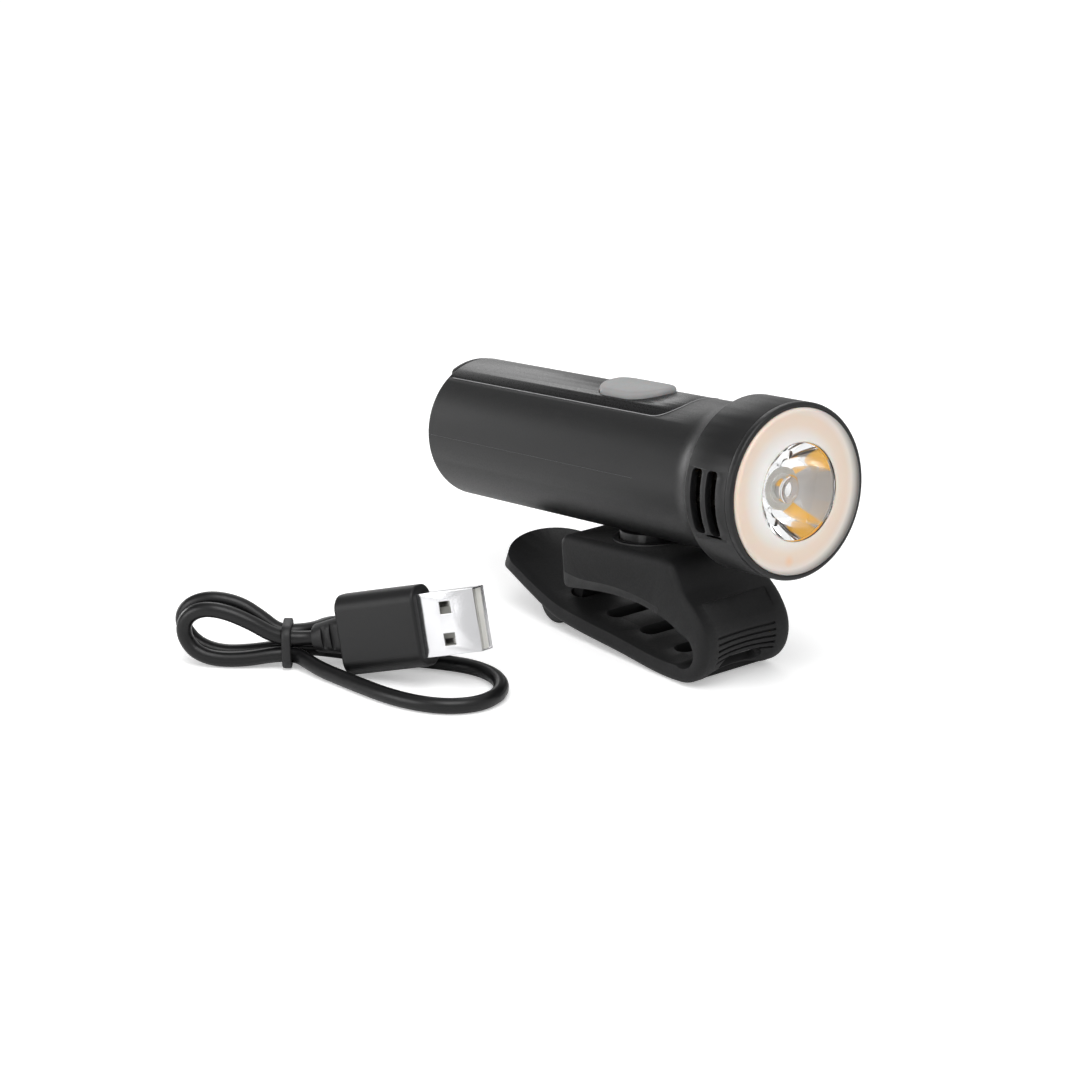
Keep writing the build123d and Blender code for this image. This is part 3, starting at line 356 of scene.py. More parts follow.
def freeze(piece: Piece) -> Piece:
    """Turn a piece's modifiers into its plain mesh.

    Args:
        piece: An object with live modifiers.

    Returns:
        The same object, with the evaluated mesh and no modifiers.
    """
    bpy.context.view_layer.update()
    graph = bpy.context.evaluated_depsgraph_get()
    mesh = bpy.data.meshes.new_from_object(piece.evaluated_get(graph), depsgraph=graph)
    mesh.name = piece.name
    piece.modifiers.clear()
    piece.data = mesh
    return piece


def run_tree(piece: Piece, tree: Tree, sizes: dict[str, float]) -> None:
    """Run a Geometry Nodes tree on a piece and keep what it makes as the piece's plain mesh.

    Args:
        piece: The mesh object.
        tree: The tree.
        sizes: Values of its named inputs.
    """
    nodes = piece.modifiers.new(tree.name, "NODES")
    nodes.node_group = tree
    for item in tree.interface.items_tree:
        if item.name in sizes:
            nodes[item.identifier] = sizes[item.name]
    freeze(piece)


def break_edges(piece: Piece, width: float, angle: float) -> None:
    """Round a piece's sharp edges a little.

    Args:
        piece: The mesh object.
        width: Width of the rounding, in millimetres.
        angle: Least angle of an edge that is rounded, in degrees.
    """
    bevel = piece.modifiers.new("edge", "BEVEL")
    bevel.width = width * MM
    bevel.segments = 2
    bevel.limit_method = "ANGLE"
    bevel.angle_limit = math.radians(angle)
    bevel.harden_normals = True


def arc(centre: Pair, radius: float, start: float, end: float, steps: int) -> Points:
    """Give points round an arc in a section.

    Args:
        centre: Centre of the arc.
        radius: Its radius.
        start: First angle in degrees.
        end: Last angle in degrees.
        steps: Number of steps between them.

    Returns:
        The points, both ends included.
    """
    turns = [math.radians(start + (end - start) * n / steps) for n in range(steps + 1)]
    return [(centre[0] + radius * math.cos(turn), centre[1] + radius * math.sin(turn)) for turn in turns]


@dataclass(frozen=True)
class Finish:
    """One real material with the way its surface was made.

    Attributes:
        name: What the material is.
        colour: Its sRGB colour as hex.
        roughness: Its mean roughness.
        metallic: 1 for a bare metal.
        ior: Index of refraction.
        grain: Size of its surface grain, in millimetres.
        relief: Height of that grain, in millimetres.
        uneven: How far the roughness wanders either way.
        mottle: How far the colour's brightness wanders, as a share.
        sheen: Strength of the dusty sheen of rubber.
        glow: Share of light that enters and scatters below the surface.
        glow_depth: How far it goes, in millimetres.
    """

    name: str
    colour: str
    roughness: float
    metallic: float = 0.0
    ior: float = 1.5
    grain: float = 0.35
    relief: float = 0.004
    uneven: float = 0.05
    mottle: float = 0.06
    sheen: float = 0.0
    glow: float = 0.0
    glow_depth: float = 1.0

    def make(self) -> Material:
        """Build the material, or give it back if it is already there."""
        known = bpy.data.materials.get(self.name)
        if known is not None:
            return known
        material, tree, shader = new_material(self.name)
        place = add_node(tree, "ShaderNodeTexCoord").outputs["Object"]
        patches = {"Scale": 1 / (self.grain * PATCH_GRAINS * MM), "Detail": 3.0, "Roughness": 0.6}
        cloud = add_node(tree, "ShaderNodeTexNoise", {"Vector": place, **patches})
        grains = {"Scale": 1 / (self.grain * MM), "Detail": 2.0, "Roughness": 0.55}
        grain = add_node(tree, "ShaderNodeTexNoise", {"Vector": place, **grains})
        tint = spread(tree, cloud.outputs["Fac"], NOISE_RANGE, (1 - self.mottle, 1 + self.mottle))
        shade = add_node(tree, VECTOR_MATH, {0: linear(self.colour)[:3], "Scale": tint}, operation="SCALE")
        smoothest = max(0.01, self.roughness - self.uneven)
        roughest = min(1.0, self.roughness + self.uneven)
        surface = {
            "Base Color": shade.outputs["Vector"],
            "Roughness": spread(tree, grain.outputs["Fac"], NOISE_RANGE, (smoothest, roughest)),
            "Metallic": self.metallic,
            "IOR": self.ior,
            "Sheen Weight": self.sheen,
            "Subsurface Weight": self.glow,
            "Subsurface Scale": self.glow_depth * MM,
        }
        feed(tree, shader, surface)
        if self.relief:
            height = {"Height": grain.outputs["Fac"], "Strength": 1.0, "Distance": self.relief * MM}
            feed(tree, shader, {"Normal": add_node(tree, "ShaderNodeBump", height).outputs["Normal"]})
        return material


# Moulded ABS from a fine spark-eroded tool: a satin black with a soft broad highlight
HOUSING_ABS = Finish("moulded_abs_spark_eroded", "101011", 0.42, ior=1.45, grain=0.3, relief=0.006)
# The strip on top comes from a smoother tool, so its highlight is tighter
COVER_ABS = Finish("moulded_abs_fine_satin", "0b0b0c", 0.3, grain=0.3, relief=0.0004)
# Where the housing closes round the strip, its edge is drawn as a fine pale line: a painted highlight of
# the light that catches that edge
SEAM_HIGHLIGHT_ABS = Finish("abs_seam_painted_highlight", "8e8e8f", 0.3, relief=0.0)
# A mould line is the housing's own plastic, drawn a shade paler than the housing
PALE_LINE_ABS = Finish("pale_abs_mould_line", "484849", 0.35, relief=0.0)
# Unpigmented liquid silicone over a dark tube looks mid grey, with a soft glow at its edges
BUTTON_SILICONE = Finish("moulded_translucent_silicone", "8c8c8c", 0.5, ior=1.41, glow=0.2)
# Compression-moulded silicone rubber is dead matte and catches a little dust
STRAP_SILICONE = Finish(
    "moulded_silicone_rubber", "131314", 0.6, ior=1.36, grain=0.4, relief=0.008, sheen=0.02, mottle=0.12
)
# Glass-filled nylon shows a dry, slightly mottled black
CORE_NYLON = Finish("moulded_glass_filled_nylon", "131314", 0.5, relief=0.01, mottle=0.1)
# The charge port's flap is the same rubber as most lamps have, a little shinier than the strap
FLAP_RUBBER = Finish("moulded_flap_rubber", "161617", 0.55, ior=1.45)
# Extruded cable jacket, smooth and satin along its length
JACKET_TPE = Finish("extruded_tpe_jacket", "0b0b0c", 0.33, ior=1.42, grain=0.8)
# The overmould on the plug comes from a sandblasted tool
PLUG_TPE = Finish("sandblasted_tpe_overmould", "101011", 0.45, ior=1.42, grain=0.3, relief=0.008)
# Rubber ring that ties the loops
TIE_RUBBER = Finish("moulded_tie_rubber", "111112", 0.5)
# Bright nickel over stamped steel mirrors the white room
NICKEL_PLATE = Finish(
    "nickel_plated_steel", "e6e6e8", 0.16, metallic=1.0, relief=0.0008, uneven=0.04, mottle=0.02
)
# White liquid-crystal polymer inside the plug
PLUG_INSERT = Finish("moulded_white_insulator", "d9d8d2", 0.5)
# The contacts read as tin grey, not gold
CONTACT_TIN = Finish("tin_plated_contact", "c4c3bf", 0.25, metallic=1.0, relief=0.0005)
# Turned insert that takes the swivel's screw
BRASS = Finish("turned_brass", "c9a24f", 0.28, metallic=1.0)
# Bright zinc on the screws and the washer
SCREW_STEEL = Finish("zinc_plated_steel", "b9bbbd", 0.3, metallic=1.0)
# The fins in the slots look dark, so the aluminium is anodised
SINK_METAL = Finish("black_anodised_aluminium", "26241f", 0.45, metallic=1.0, relief=0.006)
# Boards under the diodes have a white mask, to throw their light back
BOARD_WHITE = Finish("white_solder_mask", "e6e5de", 0.45)
# The driver's board is the common green
BOARD_GREEN = Finish("green_solder_mask", "1d4a2c", 0.35)
# Small diode packages filled with amber phosphor
AMBER_DIODE = Finish("amber_phosphor_package", "f0a23c", 0.4)
# Phosphor over a white diode is a strong yellow while it is off
EMITTER_PHOSPHOR = Finish("yellow_phosphor_dome", "ffc136", 0.25)
# Titanium-filled polycarbonate cup behind the clear optic
HOLDER_PLASTIC = Finish("moulded_white_polycarbonate", "f2f1f0", 0.35)
# Shrink wrap over the battery's steel can
CELL_WRAP = Finish("blue_shrink_wrap", "2a5f9e", 0.3)
# Nickel strips that are spot-welded to its ends
CELL_NICKEL = Finish("nickel_strip", "bdbab0", 0.3, metallic=1.0)
# Unpigmented ABS of the cradle round it
CRADLE_ABS = Finish("natural_abs", "c9c7bd", 0.5)
# Case of the switch under the button
SWITCH_PLASTIC = Finish("black_switch_housing", "161616", 0.5)
# The plunger that works it
PLUNGER_PLASTIC = Finish("white_plunger", "d0cfc8", 0.5)
# The ring that seals the lens
SEAL_RUBBER = Finish("black_seal_rubber", "141414", 0.6)


def dress(frame: Frame, finishes: dict[str, Finish | Material]) -> None:
    """Give CAD nodes their materials and report each one.

    Args:
        finishes: Finish or ready material by node name.
    """
    for name, finish in finishes.items():
        node = frame["nodes"][name]
        material = finish.make() if isinstance(finish, Finish) else finish
        node.data.materials.clear()
        node.data.materials.append(material)
        LOG.info("dressed %s in %s", name, material.name)


def soften(frame: Frame, widths: dict[str, float], angle: float = 38.0) -> None:
    """Round the sharp edges of CAD nodes a little, as moulded and stamped pieces are.

    Args:
        widths: Width of the rounding in millimetres, by node name.
        angle: Least angle of an edge that is rounded, in degrees.
    """
    for name, width in widths.items():
        node = frame["nodes"][name]
        weld = node.modifiers.new("weld", "WELD")
        weld.merge_threshold = WELD_GAP
        break_edges(node, width, angle)
        for face in node.data.polygons:
            face.use_smooth = True


def add_piece(piece: Piece, body: Body, material: Material, slot: str, *nodes: str) -> None:
    """Dress a new piece, let it ride on its body and hide the CAD nodes that it stands for.

    Args:
        piece: The finished mesh or curve.
        body: The body that it moves with.
        material: Its material.
        slot: The record's material slot for it. Not used.
        nodes: CAD nodes that it replaces.
    """
    piece.data.materials.clear()
    piece.data.materials.append(material)
    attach(piece, body.value)
    if nodes:
        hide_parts(*nodes)
    LOG.info("built %s on %s", piece.name, body.value)


@dataclass
class Housing:
    """The lamp's shell with its top strip, button, rear flap and inner pieces.

    Lengths are in millimetres and angles in degrees.

    Attributes:
        axes: The lamp's axes.
        edge: Rounding of the moulded edges.
        tube_radius: Outside radius of the tube.
        cover_angle: Half of the angle that the top strip covers.
        cover_front: Distance of the strip's front end behind the bezel's face.
        cover_corner: Radius of the strip's corners.
        rear: Distance of the rear face.
        rear_rounding: Radius of the rear edge.
        seam_radius: Radius of the pale bead round the strip, which carries a painted highlight.
        line_radius: Radius of the mould lines.
        line_angle: Angle of the mould lines from the tube's top.
        line_start: Distance of their front end.
        bead_sides: Number of sides of such a fine bead.
    """

    frame: Frame
    axes: LampAxes
    edge: float = 0.12
    tube_radius: float = 14.1
    cover_angle: float = 34.0
    cover_front: float = 25.6
    cover_corner: float = 5.5
    rear: float = 95.0
    rear_rounding: float = 0.9
    seam_radius: float = 0.09
    line_radius: float = 0.03
    line_angle: float = 86.0
    line_start: float = 30.0
    bead_sides: int = 8

    def bead_tree(self, sizes: dict[str, float], material: Material) -> Tree:
        """Make the node tree that turns a line into a thin round bead.

        Args:
            sizes: The bead's radius in metres and its number of sides, as named inputs.
            material: What it is made of.

        Returns:
            The Geometry Nodes tree.
        """
        tree, given = geometry_tree("bead_along_line", sizes)
        line = add_node(tree, "GeometryNodeMeshToCurve", {"Mesh": given.outputs["Geometry"]})
        round_section = {"Resolution": given.outputs["Sides"], "Radius": given.outputs["Radius"]}
        ring = add_node(tree, "GeometryNodeCurvePrimitiveCircle", round_section)
        bead = add_node(
            tree,
            "GeometryNodeCurveToMesh",
            {"Curve": line.outputs["Curve"], "Profile Curve": ring.outputs["Curve"], "Fill Caps": True},
        )
        end_tree(tree, bead.outputs["Mesh"], material)
        return tree

    def seam(self, name: str, flat: Points, radius: float, finish: Finish) -> None:
        """Lay a bead on the tube's wall along a line that is given unrolled.

        Args:
            name: The piece's name.
            flat: Its points: the angle from the tube's top towards -X in degrees, and the distance back.
            radius: The bead's radius, in millimetres.
            finish: What it is made of.
        """
        matrix = self.axes.matrix()
        points = []
        for degrees, back in flat:
            inset = max(0.0, back - self.rear + self.rear_rounding)
            rise = math.sqrt(max(0.0, self.rear_rounding ** 2 - inset ** 2))
            wall = self.tube_radius - self.rear_rounding + rise
            turn = math.radians(degrees)
            points.append(matrix @ (Vector((-wall * math.sin(turn), back, wall * math.cos(turn))) * MM))
        piece = plain_mesh(name, points, edges=[(n, n + 1) for n in range(len(points) - 1)])
        material = finish.make()
        sizes = {"Radius": radius * MM, "Sides": self.bead_sides}
        run_tree(piece, self.bead_tree(sizes, material), sizes)
        clean_normals(piece)
        add_piece(piece, Body.LAMP, material, "shell_black")

    def cover_outline(self) -> Points:
        """Give the top strip's edge unrolled, as seam() takes it, from one rear end to the other."""
        half = self.tube_radius * math.sin(math.radians(self.cover_angle))
        bend = self.cover_corner
        along, across, round_corner = 30, 8, 16
        step = (self.rear - self.cover_front - bend) / along
        side = [(half, self.rear - n * step) for n in range(along)]
        corner = arc((half - bend, self.cover_front + bend), bend, 0, -90, round_corner)
        front = [(n * (half - bend) / across, self.cover_front) for n in range(across - 1, -1, -1)]
        run = side + corner + front
        run += [(-aside, back) for aside, back in reversed(run[:-1])]
        return [(math.degrees(math.asin(aside / self.tube_radius)), back) for aside, back in run]

    def build(self) -> None:
        """Dress every node of the housing and lay its seams."""
        finishes = {
            "body_shell": HOUSING_ABS,
            "front_bezel": HOUSING_ABS,
            "top_cover": COVER_ABS,
            "button_cap": BUTTON_SILICONE,
            "port_cover": FLAP_RUBBER,
            "flap_anchor": FLAP_RUBBER,
            "tact_switch": SWITCH_PLASTIC,
            "switch_plunger": PLUNGER_PLASTIC,
            "status_leds": AMBER_DIODE,
            "driver_board": BOARD_GREEN,
            "charge_socket": NICKEL_PLATE,
            "battery_cell": CELL_WRAP,
            "battery_tabs": CELL_NICKEL,
            "battery_cradle": CRADLE_ABS,
            "heat_sink": SINK_METAL,
            "halo_board": BOARD_WHITE,
            "pivot_insert": BRASS,
            "pivot_screw": SCREW_STEEL,
        }
        dress(self.frame, finishes)
        edges = ("body_shell", "top_cover", "front_bezel", "button_cap")
        soften(self.frame, {name: self.edge for name in edges})
        # The bead round the strip is coloured pale as a painted highlight on its edge
        self.seam("cover_seam", self.cover_outline(), self.seam_radius, SEAM_HIGHLIGHT_ABS)
        steps = 40
        run = [self.line_start + n * (self.rear - self.line_start) / steps for n in range(steps + 1)]
        for name, angle in (("left_mould_line", self.line_angle), ("right_mould_line", -self.line_angle)):
            self.seam(name, [(angle, back) for back in run], self.line_radius, PALE_LINE_ABS)


@dataclass
class Optic:
    """The opal ring lens, the clear collimator with its white holder, and the emitter in its rear pocket.

    Lengths are in millimetres and angles in degrees.

    Attributes:
        axes: The lamp's axes.
        lens_radius: Outside radius of the ring lens.
        aperture: Radius of the opening that it leaves.
        stand: How far the lens stands in front of the bezel.
        lip: Thickness of the lens's lip over the collimator's flange.
        lens_back: Distance of the lens's back behind the bezel's face.
        collar_back: Distance of its collar's back edge.
        flange: Radius of the collimator's flange.
        flange_back: Distance of that flange's back.
        side_radius: Radius of the parabola at the flange.
        base_radius: Radius of the parabola at the rear.
        optic_front: Place of the collimator's front face.
        optic_back: Place of its rear face.
        pocket: Radius of the pocket at its roof.
        pocket_depth: Depth of the pocket.
        bulge: Height of the small lens on its roof.
        holder_gap: Gap between the collimator and its holder.
        holder_wall: Wall of the holder.
        front_rounding: Rounding of the lens's inner front edge.
        rim_rounding: Rounding of its outer front edge.
        collar_wall: Wall of its collar.
        play: Gap between the lens and the collimator's flange.
        pocket_flare: How much wider the pocket is at its mouth.
        sharp: Least angle of an edge that is broken.
        turning_steps: Number of steps round a turned piece.
        diode_ring: Radius of the circle that the halo's diodes stand on.
        diode_way: Where on that circle the diode lies whose spot shows, as a unit vector.
        diode_spot: Radii at which that spot starts to fade and is gone.
        diode_tint: Share of its colour in the middle.
        ring_tones: Place across the ring and colour of the lens's tones, from inside to outside; the grey
            and dark last stops are painted shade at the far rim.
        amber_below: Angle up to which the cup is amber, from straight down at -90, as a painted reflection
            of the phosphor.
        amber_above: Angles between which it carries that painted reflection again.
        amber_fade: How far that painted reflection takes to fade.
        stain: How far the board's amber spot lies off the axis, in radii of the pocket.
        stain_edge: Radii of that spot at which it starts to fade and is gone, likewise.
        reflection_glow: Emission strength of that painted amber reflection, so the cup glows though it is
            no lamp.
        tint_and_shade_slide: How far the ring's tones slide with the eye: its warm tint, since it lies
            deep, and the painted shade, which darkens the far rim and lightens the near inner edge.
        glow_reach: How far its colours reach past the ring on either side.
    """

    frame: Frame
    axes: LampAxes
    lens_radius: float = 15.5
    aperture: float = 9.2
    stand: float = 0.6
    lip: float = 0.9
    lens_back: float = 0.9
    collar_back: float = 2.0
    flange: float = 9.9
    flange_back: float = 1.05
    side_radius: float = 9.05
    base_radius: float = 4.0
    optic_front: float = -0.5
    optic_back: float = 8.4
    pocket: float = 2.5
    pocket_depth: float = 3.8
    bulge: float = 0.8
    holder_gap: float = 0.15
    holder_wall: float = 0.5
    front_rounding: float = 0.3
    rim_rounding: float = 0.8
    collar_wall: float = 0.5
    play: float = 0.05
    pocket_flare: float = 0.25
    sharp: float = 25.0
    turning_steps: int = 192
    diode_ring: float = 13.3
    diode_way: Triple = (-0.13, 0.0, -0.99)
    diode_spot: Pair = (0.25, 1.3)
    diode_tint: float = 0.36
    # The grey and dark last stops are painted shade at the rim
    ring_tones: tuple[tuple[float, str], ...] = (
        (0.1, "e6e4e1"), (0.3, "dcd6cf"), (0.46, "dccbbb"), (0.63, "dbc8b8"),
        (0.76, "d9d0c8"), (0.84, "b5b0ab"), (0.95, "5e5a57"),
    )
    amber_below: float = -50.0
    amber_above: Pair = (30.0, 76.0)
    amber_fade: float = 3.0
    stain: float = 0.9
    stain_edge: Pair = (0.8, 0.9)
    reflection_glow: float = 0.28
    tint_and_shade_slide: float = 2.6
    glow_reach: float = 1.6

    def lamp_place(self, tree: Tree) -> Any:
        """Add nodes that give a point of a surface in the lamp's axes, in metres, with its depth flattened.

        Args:
            tree: The material's node tree.

        Returns:
            The socket with the flattened point.
        """
        place = add_node(tree, "ShaderNodeTexCoord").outputs["Object"]
        centred = add_node(
            tree,
            "ShaderNodeMapping",
            {"Vector": place, "Location": self.axes.origin, "Rotation": (self.axes.tilt(), 0, 0)},
            vector_type="TEXTURE",
        )
        return work_out(tree, "MULTIPLY", centred.outputs["Vector"], (1, 0, 1), kind=VECTOR_MATH)

    def opal(self) -> Material:
        """Make the ring lens's opal plastic, warm over the amber diodes, with painted shade that darkens
        its far rim.
        """
        material, tree, shader = new_material("opal_polycarbonate")
        # The tones slide with the eye: painted shade darkens the far rim, where the clear rim would show
        # the dark bezel, and lightens the near inner edge
        eye = add_node(tree, "ShaderNodeNewGeometry").outputs["Incoming"]
        slide = -self.tint_and_shade_slide * MM
        sideways = work_out(tree, "MULTIPLY", eye, (slide, 0, slide), kind=VECTOR_MATH)
        deep = work_out(tree, "ADD", self.lamp_place(tree), sideways, kind=VECTOR_MATH)
        reach = ((self.aperture - self.glow_reach) * MM, (self.lens_radius + self.glow_reach) * MM)
        share = spread(tree, work_out(tree, "LENGTH", deep, kind=VECTOR_MATH), reach)
        ring = tone(tree, share, [(place, linear(colour)) for place, colour in self.ring_tones])
        diode = Vector(self.diode_way) * self.diode_ring * MM
        away = work_out(tree, "DISTANCE", deep, diode, kind=VECTOR_MATH)
        spot = spread(tree, away, [radius * MM for radius in self.diode_spot], (self.diode_tint, 0.0))
        tones = {"Factor": spot, "A": ring, "B": linear("e9a765")}
        mixed = add_node(tree, "ShaderNodeMix", tones, data_type="RGBA")
        surface = {"Base Color": shown(mixed.outputs), "Roughness": 0.26, "IOR": 1.55}
        feed(tree, shader, {**surface, "Subsurface Weight": 0.35, "Subsurface Scale": 1.0 * MM})
        return material

    def holder_white(self) -> Material:
        """Make the white cup's plastic, with a painted reflection of the phosphor's amber above and below
        its middle, which also glows.
        """
        material = HOLDER_PLASTIC.make()
        tree = material.node_tree
        shader = tree.nodes["Principled BSDF"]
        split = add_node(tree, "ShaderNodeSeparateXYZ", {0: self.lamp_place(tree)})
        aside = work_out(tree, "ABSOLUTE", split.outputs["X"])
        angle = work_out(tree, "ARCTAN2", split.outputs["Z"], aside)
        share = spread(tree, angle, (-math.pi / 2, math.pi / 2))
        low, (start, end), fade = self.amber_below, self.amber_above, self.amber_fade
        # The amber sectors above and below the middle are a painted reflection of the phosphor, in colour
        # and in emission
        amber = linear(EMITTER_PHOSPHOR.colour)
        for name, colour in (("Base Color", HOLDER_PLASTIC.colour), ("Emission Color", "000000")):
            plain = linear(colour)
            changes = [(-90, amber), (low, amber), (low + fade, plain), (start - fade, plain)]
            changes += [(start, amber), (end, amber), (end + fade, plain), (90, plain)]
            stops = [((degrees + 90) / 180, shade) for degrees, shade in changes]
            feed(tree, shader, {name: tone(tree, share, stops)})
        # This emission makes the painted reflection glow, though the cup is no lamp
        feed(tree, shader, {"Emission Strength": self.reflection_glow})
        return material

    def board_face(self) -> Material:
        """Make the emitter board's white mask, stained yellow by the phosphor round the emitter."""
        material = BOARD_WHITE.make().copy()
        material.name = "white_solder_mask_round_phosphor"
        tree = material.node_tree
        middle = (self.stain * self.pocket * MM, 0, 0)
        away = work_out(tree, "DISTANCE", self.lamp_place(tree), middle, kind=VECTOR_MATH)
        share = spread(tree, away, [edge * self.pocket * MM for edge in self.stain_edge])
        stops = ((0.0, linear(EMITTER_PHOSPHOR.colour)), (1.0, linear(BOARD_WHITE.colour)))
        feed(tree, tree.nodes["Principled BSDF"], {"Base Color": tone(tree, share, stops)})
        return material

    def acrylic(self) -> Material:
        """Make the clear acrylic of the collimator, polished all over."""
        material, tree, shader = new_material("clear_polished_acrylic")
        surface = {"Base Color": linear("fbfcfd"), "Roughness": 0.01, "IOR": 1.49}
        feed(tree, shader, {**surface, "Transmission Weight": 1.0})
        return material

    def turning_tree(self, sizes: dict[str, float], material: Material) -> Tree:
        """Make a node tree that turns a piece's points, its section, about the lamp's axis.

        Args:
            sizes: The number of points and of steps round, as named inputs.
            material: The finish of what it makes.

        Returns:
            The Geometry Nodes tree.
        """
        tree, given = geometry_tree("section_about_axis", sizes)
        columns = work_out(tree, "ADD", given.outputs["Steps"], 1.0)
        last = work_out(tree, "SUBTRACT", given.outputs["Points"], 1.0)
        grid = add_node(
            tree,
            "GeometryNodeMeshGrid",
            {"Size X": 1.0, "Size Y": 1.0, "Vertices X": given.outputs["Points"], "Vertices Y": columns},
        )
        where = add_node(tree, "GeometryNodeInputPosition").outputs[0]
        split = add_node(tree, "ShaderNodeSeparateXYZ", {0: where})
        share = work_out(tree, "ADD", split.outputs["X"], 0.5)
        number = work_out(tree, "ROUND", work_out(tree, "MULTIPLY", share, last))
        turn = work_out(tree, "MULTIPLY", split.outputs["Y"], 2 * math.pi)
        sample = add_node(
            tree,
            "GeometryNodeSampleIndex",
            {"Geometry": given.outputs["Geometry"], "Value": where, "Index": number},
            data_type="FLOAT_VECTOR",
            domain="POINT",
        )
        found = add_node(tree, "ShaderNodeSeparateXYZ", {0: shown(sample.outputs)})
        across = work_out(tree, "MULTIPLY", found.outputs["X"], work_out(tree, "COSINE", turn))
        height = work_out(tree, "MULTIPLY", found.outputs["X"], work_out(tree, "SINE", turn))
        point = add_node(tree, "ShaderNodeCombineXYZ", {"X": across, "Y": found.outputs["Y"], "Z": height})
        places = {"Geometry": grid.outputs["Mesh"], "Position": point.outputs["Vector"]}
        moved = add_node(tree, "GeometryNodeSetPosition", places)
        doubles = {"Geometry": moved.outputs["Geometry"], "Distance": WELD_GAP}
        joined = add_node(tree, "GeometryNodeMergeByDistance", doubles)
        end_tree(tree, joined.outputs["Geometry"], material)
        return tree

    def turned(self, name: str, section: Points, material: Material, edge: float = 0.06) -> Piece:
        """Turn a section about the lamp's axis, break its sharp edges and set it in the lamp.

        Args:
            name: The piece's name.
            section: Radius and distance back of its points, in millimetres.
            material: Its finish.
            edge: Width of the broken edges, in millimetres.

        Returns:
            The finished piece.
        """
        piece = plain_mesh(name, [Vector((radius, back, 0)) * MM for radius, back in section])
        sizes = {"Points": len(section), "Steps": self.turning_steps}
        run_tree(piece, self.turning_tree(sizes, material), sizes)
        piece.data.transform(self.axes.matrix())
        clean_normals(piece)
        break_edges(piece, edge, self.sharp)
        return freeze(piece)

    def side(self, radius: float) -> float:
        """Give the distance back of the collimator's side at one radius, in millimetres."""
        run = (self.side_radius ** 2 - radius ** 2) / (self.side_radius ** 2 - self.base_radius ** 2)
        return self.flange_back + (self.optic_back - self.flange_back) * run

    def side_points(self, outward: float, steps: int = 40) -> Points:
        """Give points down the collimator's side, moved outwards by a distance in millimetres."""
        taper = self.base_radius - self.side_radius
        radii = [self.side_radius + taper * n / steps for n in range(steps + 1)]
        return [(radius + outward, self.side(radius)) for radius in radii]

    def build(self) -> None:
        """Build the optic's turned pieces and dress the rest."""
        r, a, s = self.lens_radius, self.aperture, self.stand
        lip_back = self.lip - s
        inner, outer = self.front_rounding, self.rim_rounding
        collar, bore = self.flange + self.collar_wall, self.flange + self.play
        ring = [(a, lip_back), (a, -s + inner)]
        ring += arc((a + inner, -s + inner), inner, 180, 270, 5)[1:]
        ring += arc((r - outer, -s + outer), outer, 270, 360, 8)
        ring += [(r, self.lens_back), (collar, self.lens_back), (collar, self.collar_back)]
        ring += [(bore, self.collar_back), (bore, lip_back), (a, lip_back)]
        opal = self.opal()
        add_piece(self.turned("ring_lens", ring, opal), Body.LAMP, opal, "opal_lens", "halo_lens")
        roof = self.optic_back - self.pocket_depth
        curve = (self.pocket ** 2 + self.bulge ** 2) / (2 * self.bulge)
        middle = roof + self.bulge - curve
        face, step = a - self.play, lip_back + self.play
        clear = [(0.0, self.optic_front), (face, self.optic_front), (face, step)]
        clear += [(self.flange, step), (self.flange, self.flange_back)]
        clear += self.side_points(0.0)
        clear += [(self.pocket + self.pocket_flare, self.optic_back)]
        steps = 12
        radii = [self.pocket * (1 - n / steps) for n in range(steps + 1)]
        clear += [(radius, middle + math.sqrt(curve ** 2 - radius ** 2)) for radius in radii]
        acrylic = self.acrylic()
        solid = self.turned("collimator_lens", clear, acrylic, edge=0.05)
        add_piece(solid, Body.LAMP, acrylic, "clear_plastic", "collimator")
        cup = self.side_points(self.holder_gap)
        back = self.optic_back + self.holder_gap
        bottom = self.base_radius + self.holder_gap
        cup += [(bottom, back), (bottom + self.holder_wall, back)]
        cup += self.side_points(self.holder_gap + self.holder_wall)[::-1]
        cup += [cup[0]]
        white = self.holder_white()
        holder = self.turned("collimator_holder", cup, white, edge=0.04)
        add_piece(holder, Body.LAMP, white, "holder_white", "optic_holder")
        finishes = {
            "lens_seal": SEAL_RUBBER,
            "halo_leds": AMBER_DIODE,
            "led_board": self.board_face(),
            "led_emitter": EMITTER_PHOSPHOR,
            "board_screws": SCREW_STEEL,
        }
        dress(self.frame, finishes)


@dataclass
class HandlebarMount:
    """The silicone strap with its stiff core.

    Attributes:
        strap_edge: Rounding of the strap's edges, in millimetres.
        core_edge: Rounding of the core's edges, in millimetres.
    """

    frame: Frame
    strap_edge: float = 0.15
    core_edge: float = 0.2

    def build(self) -> None:
        """Dress the strap, the core and the washer, and break the edges of the first two."""
        finishes = {"strap": STRAP_SILICONE, "mount_core": CORE_NYLON, "pivot_washer": SCREW_STEEL}
        dress(self.frame, finishes)
        soften(self.frame, {"strap": self.strap_edge, "mount_core": self.core_edge})


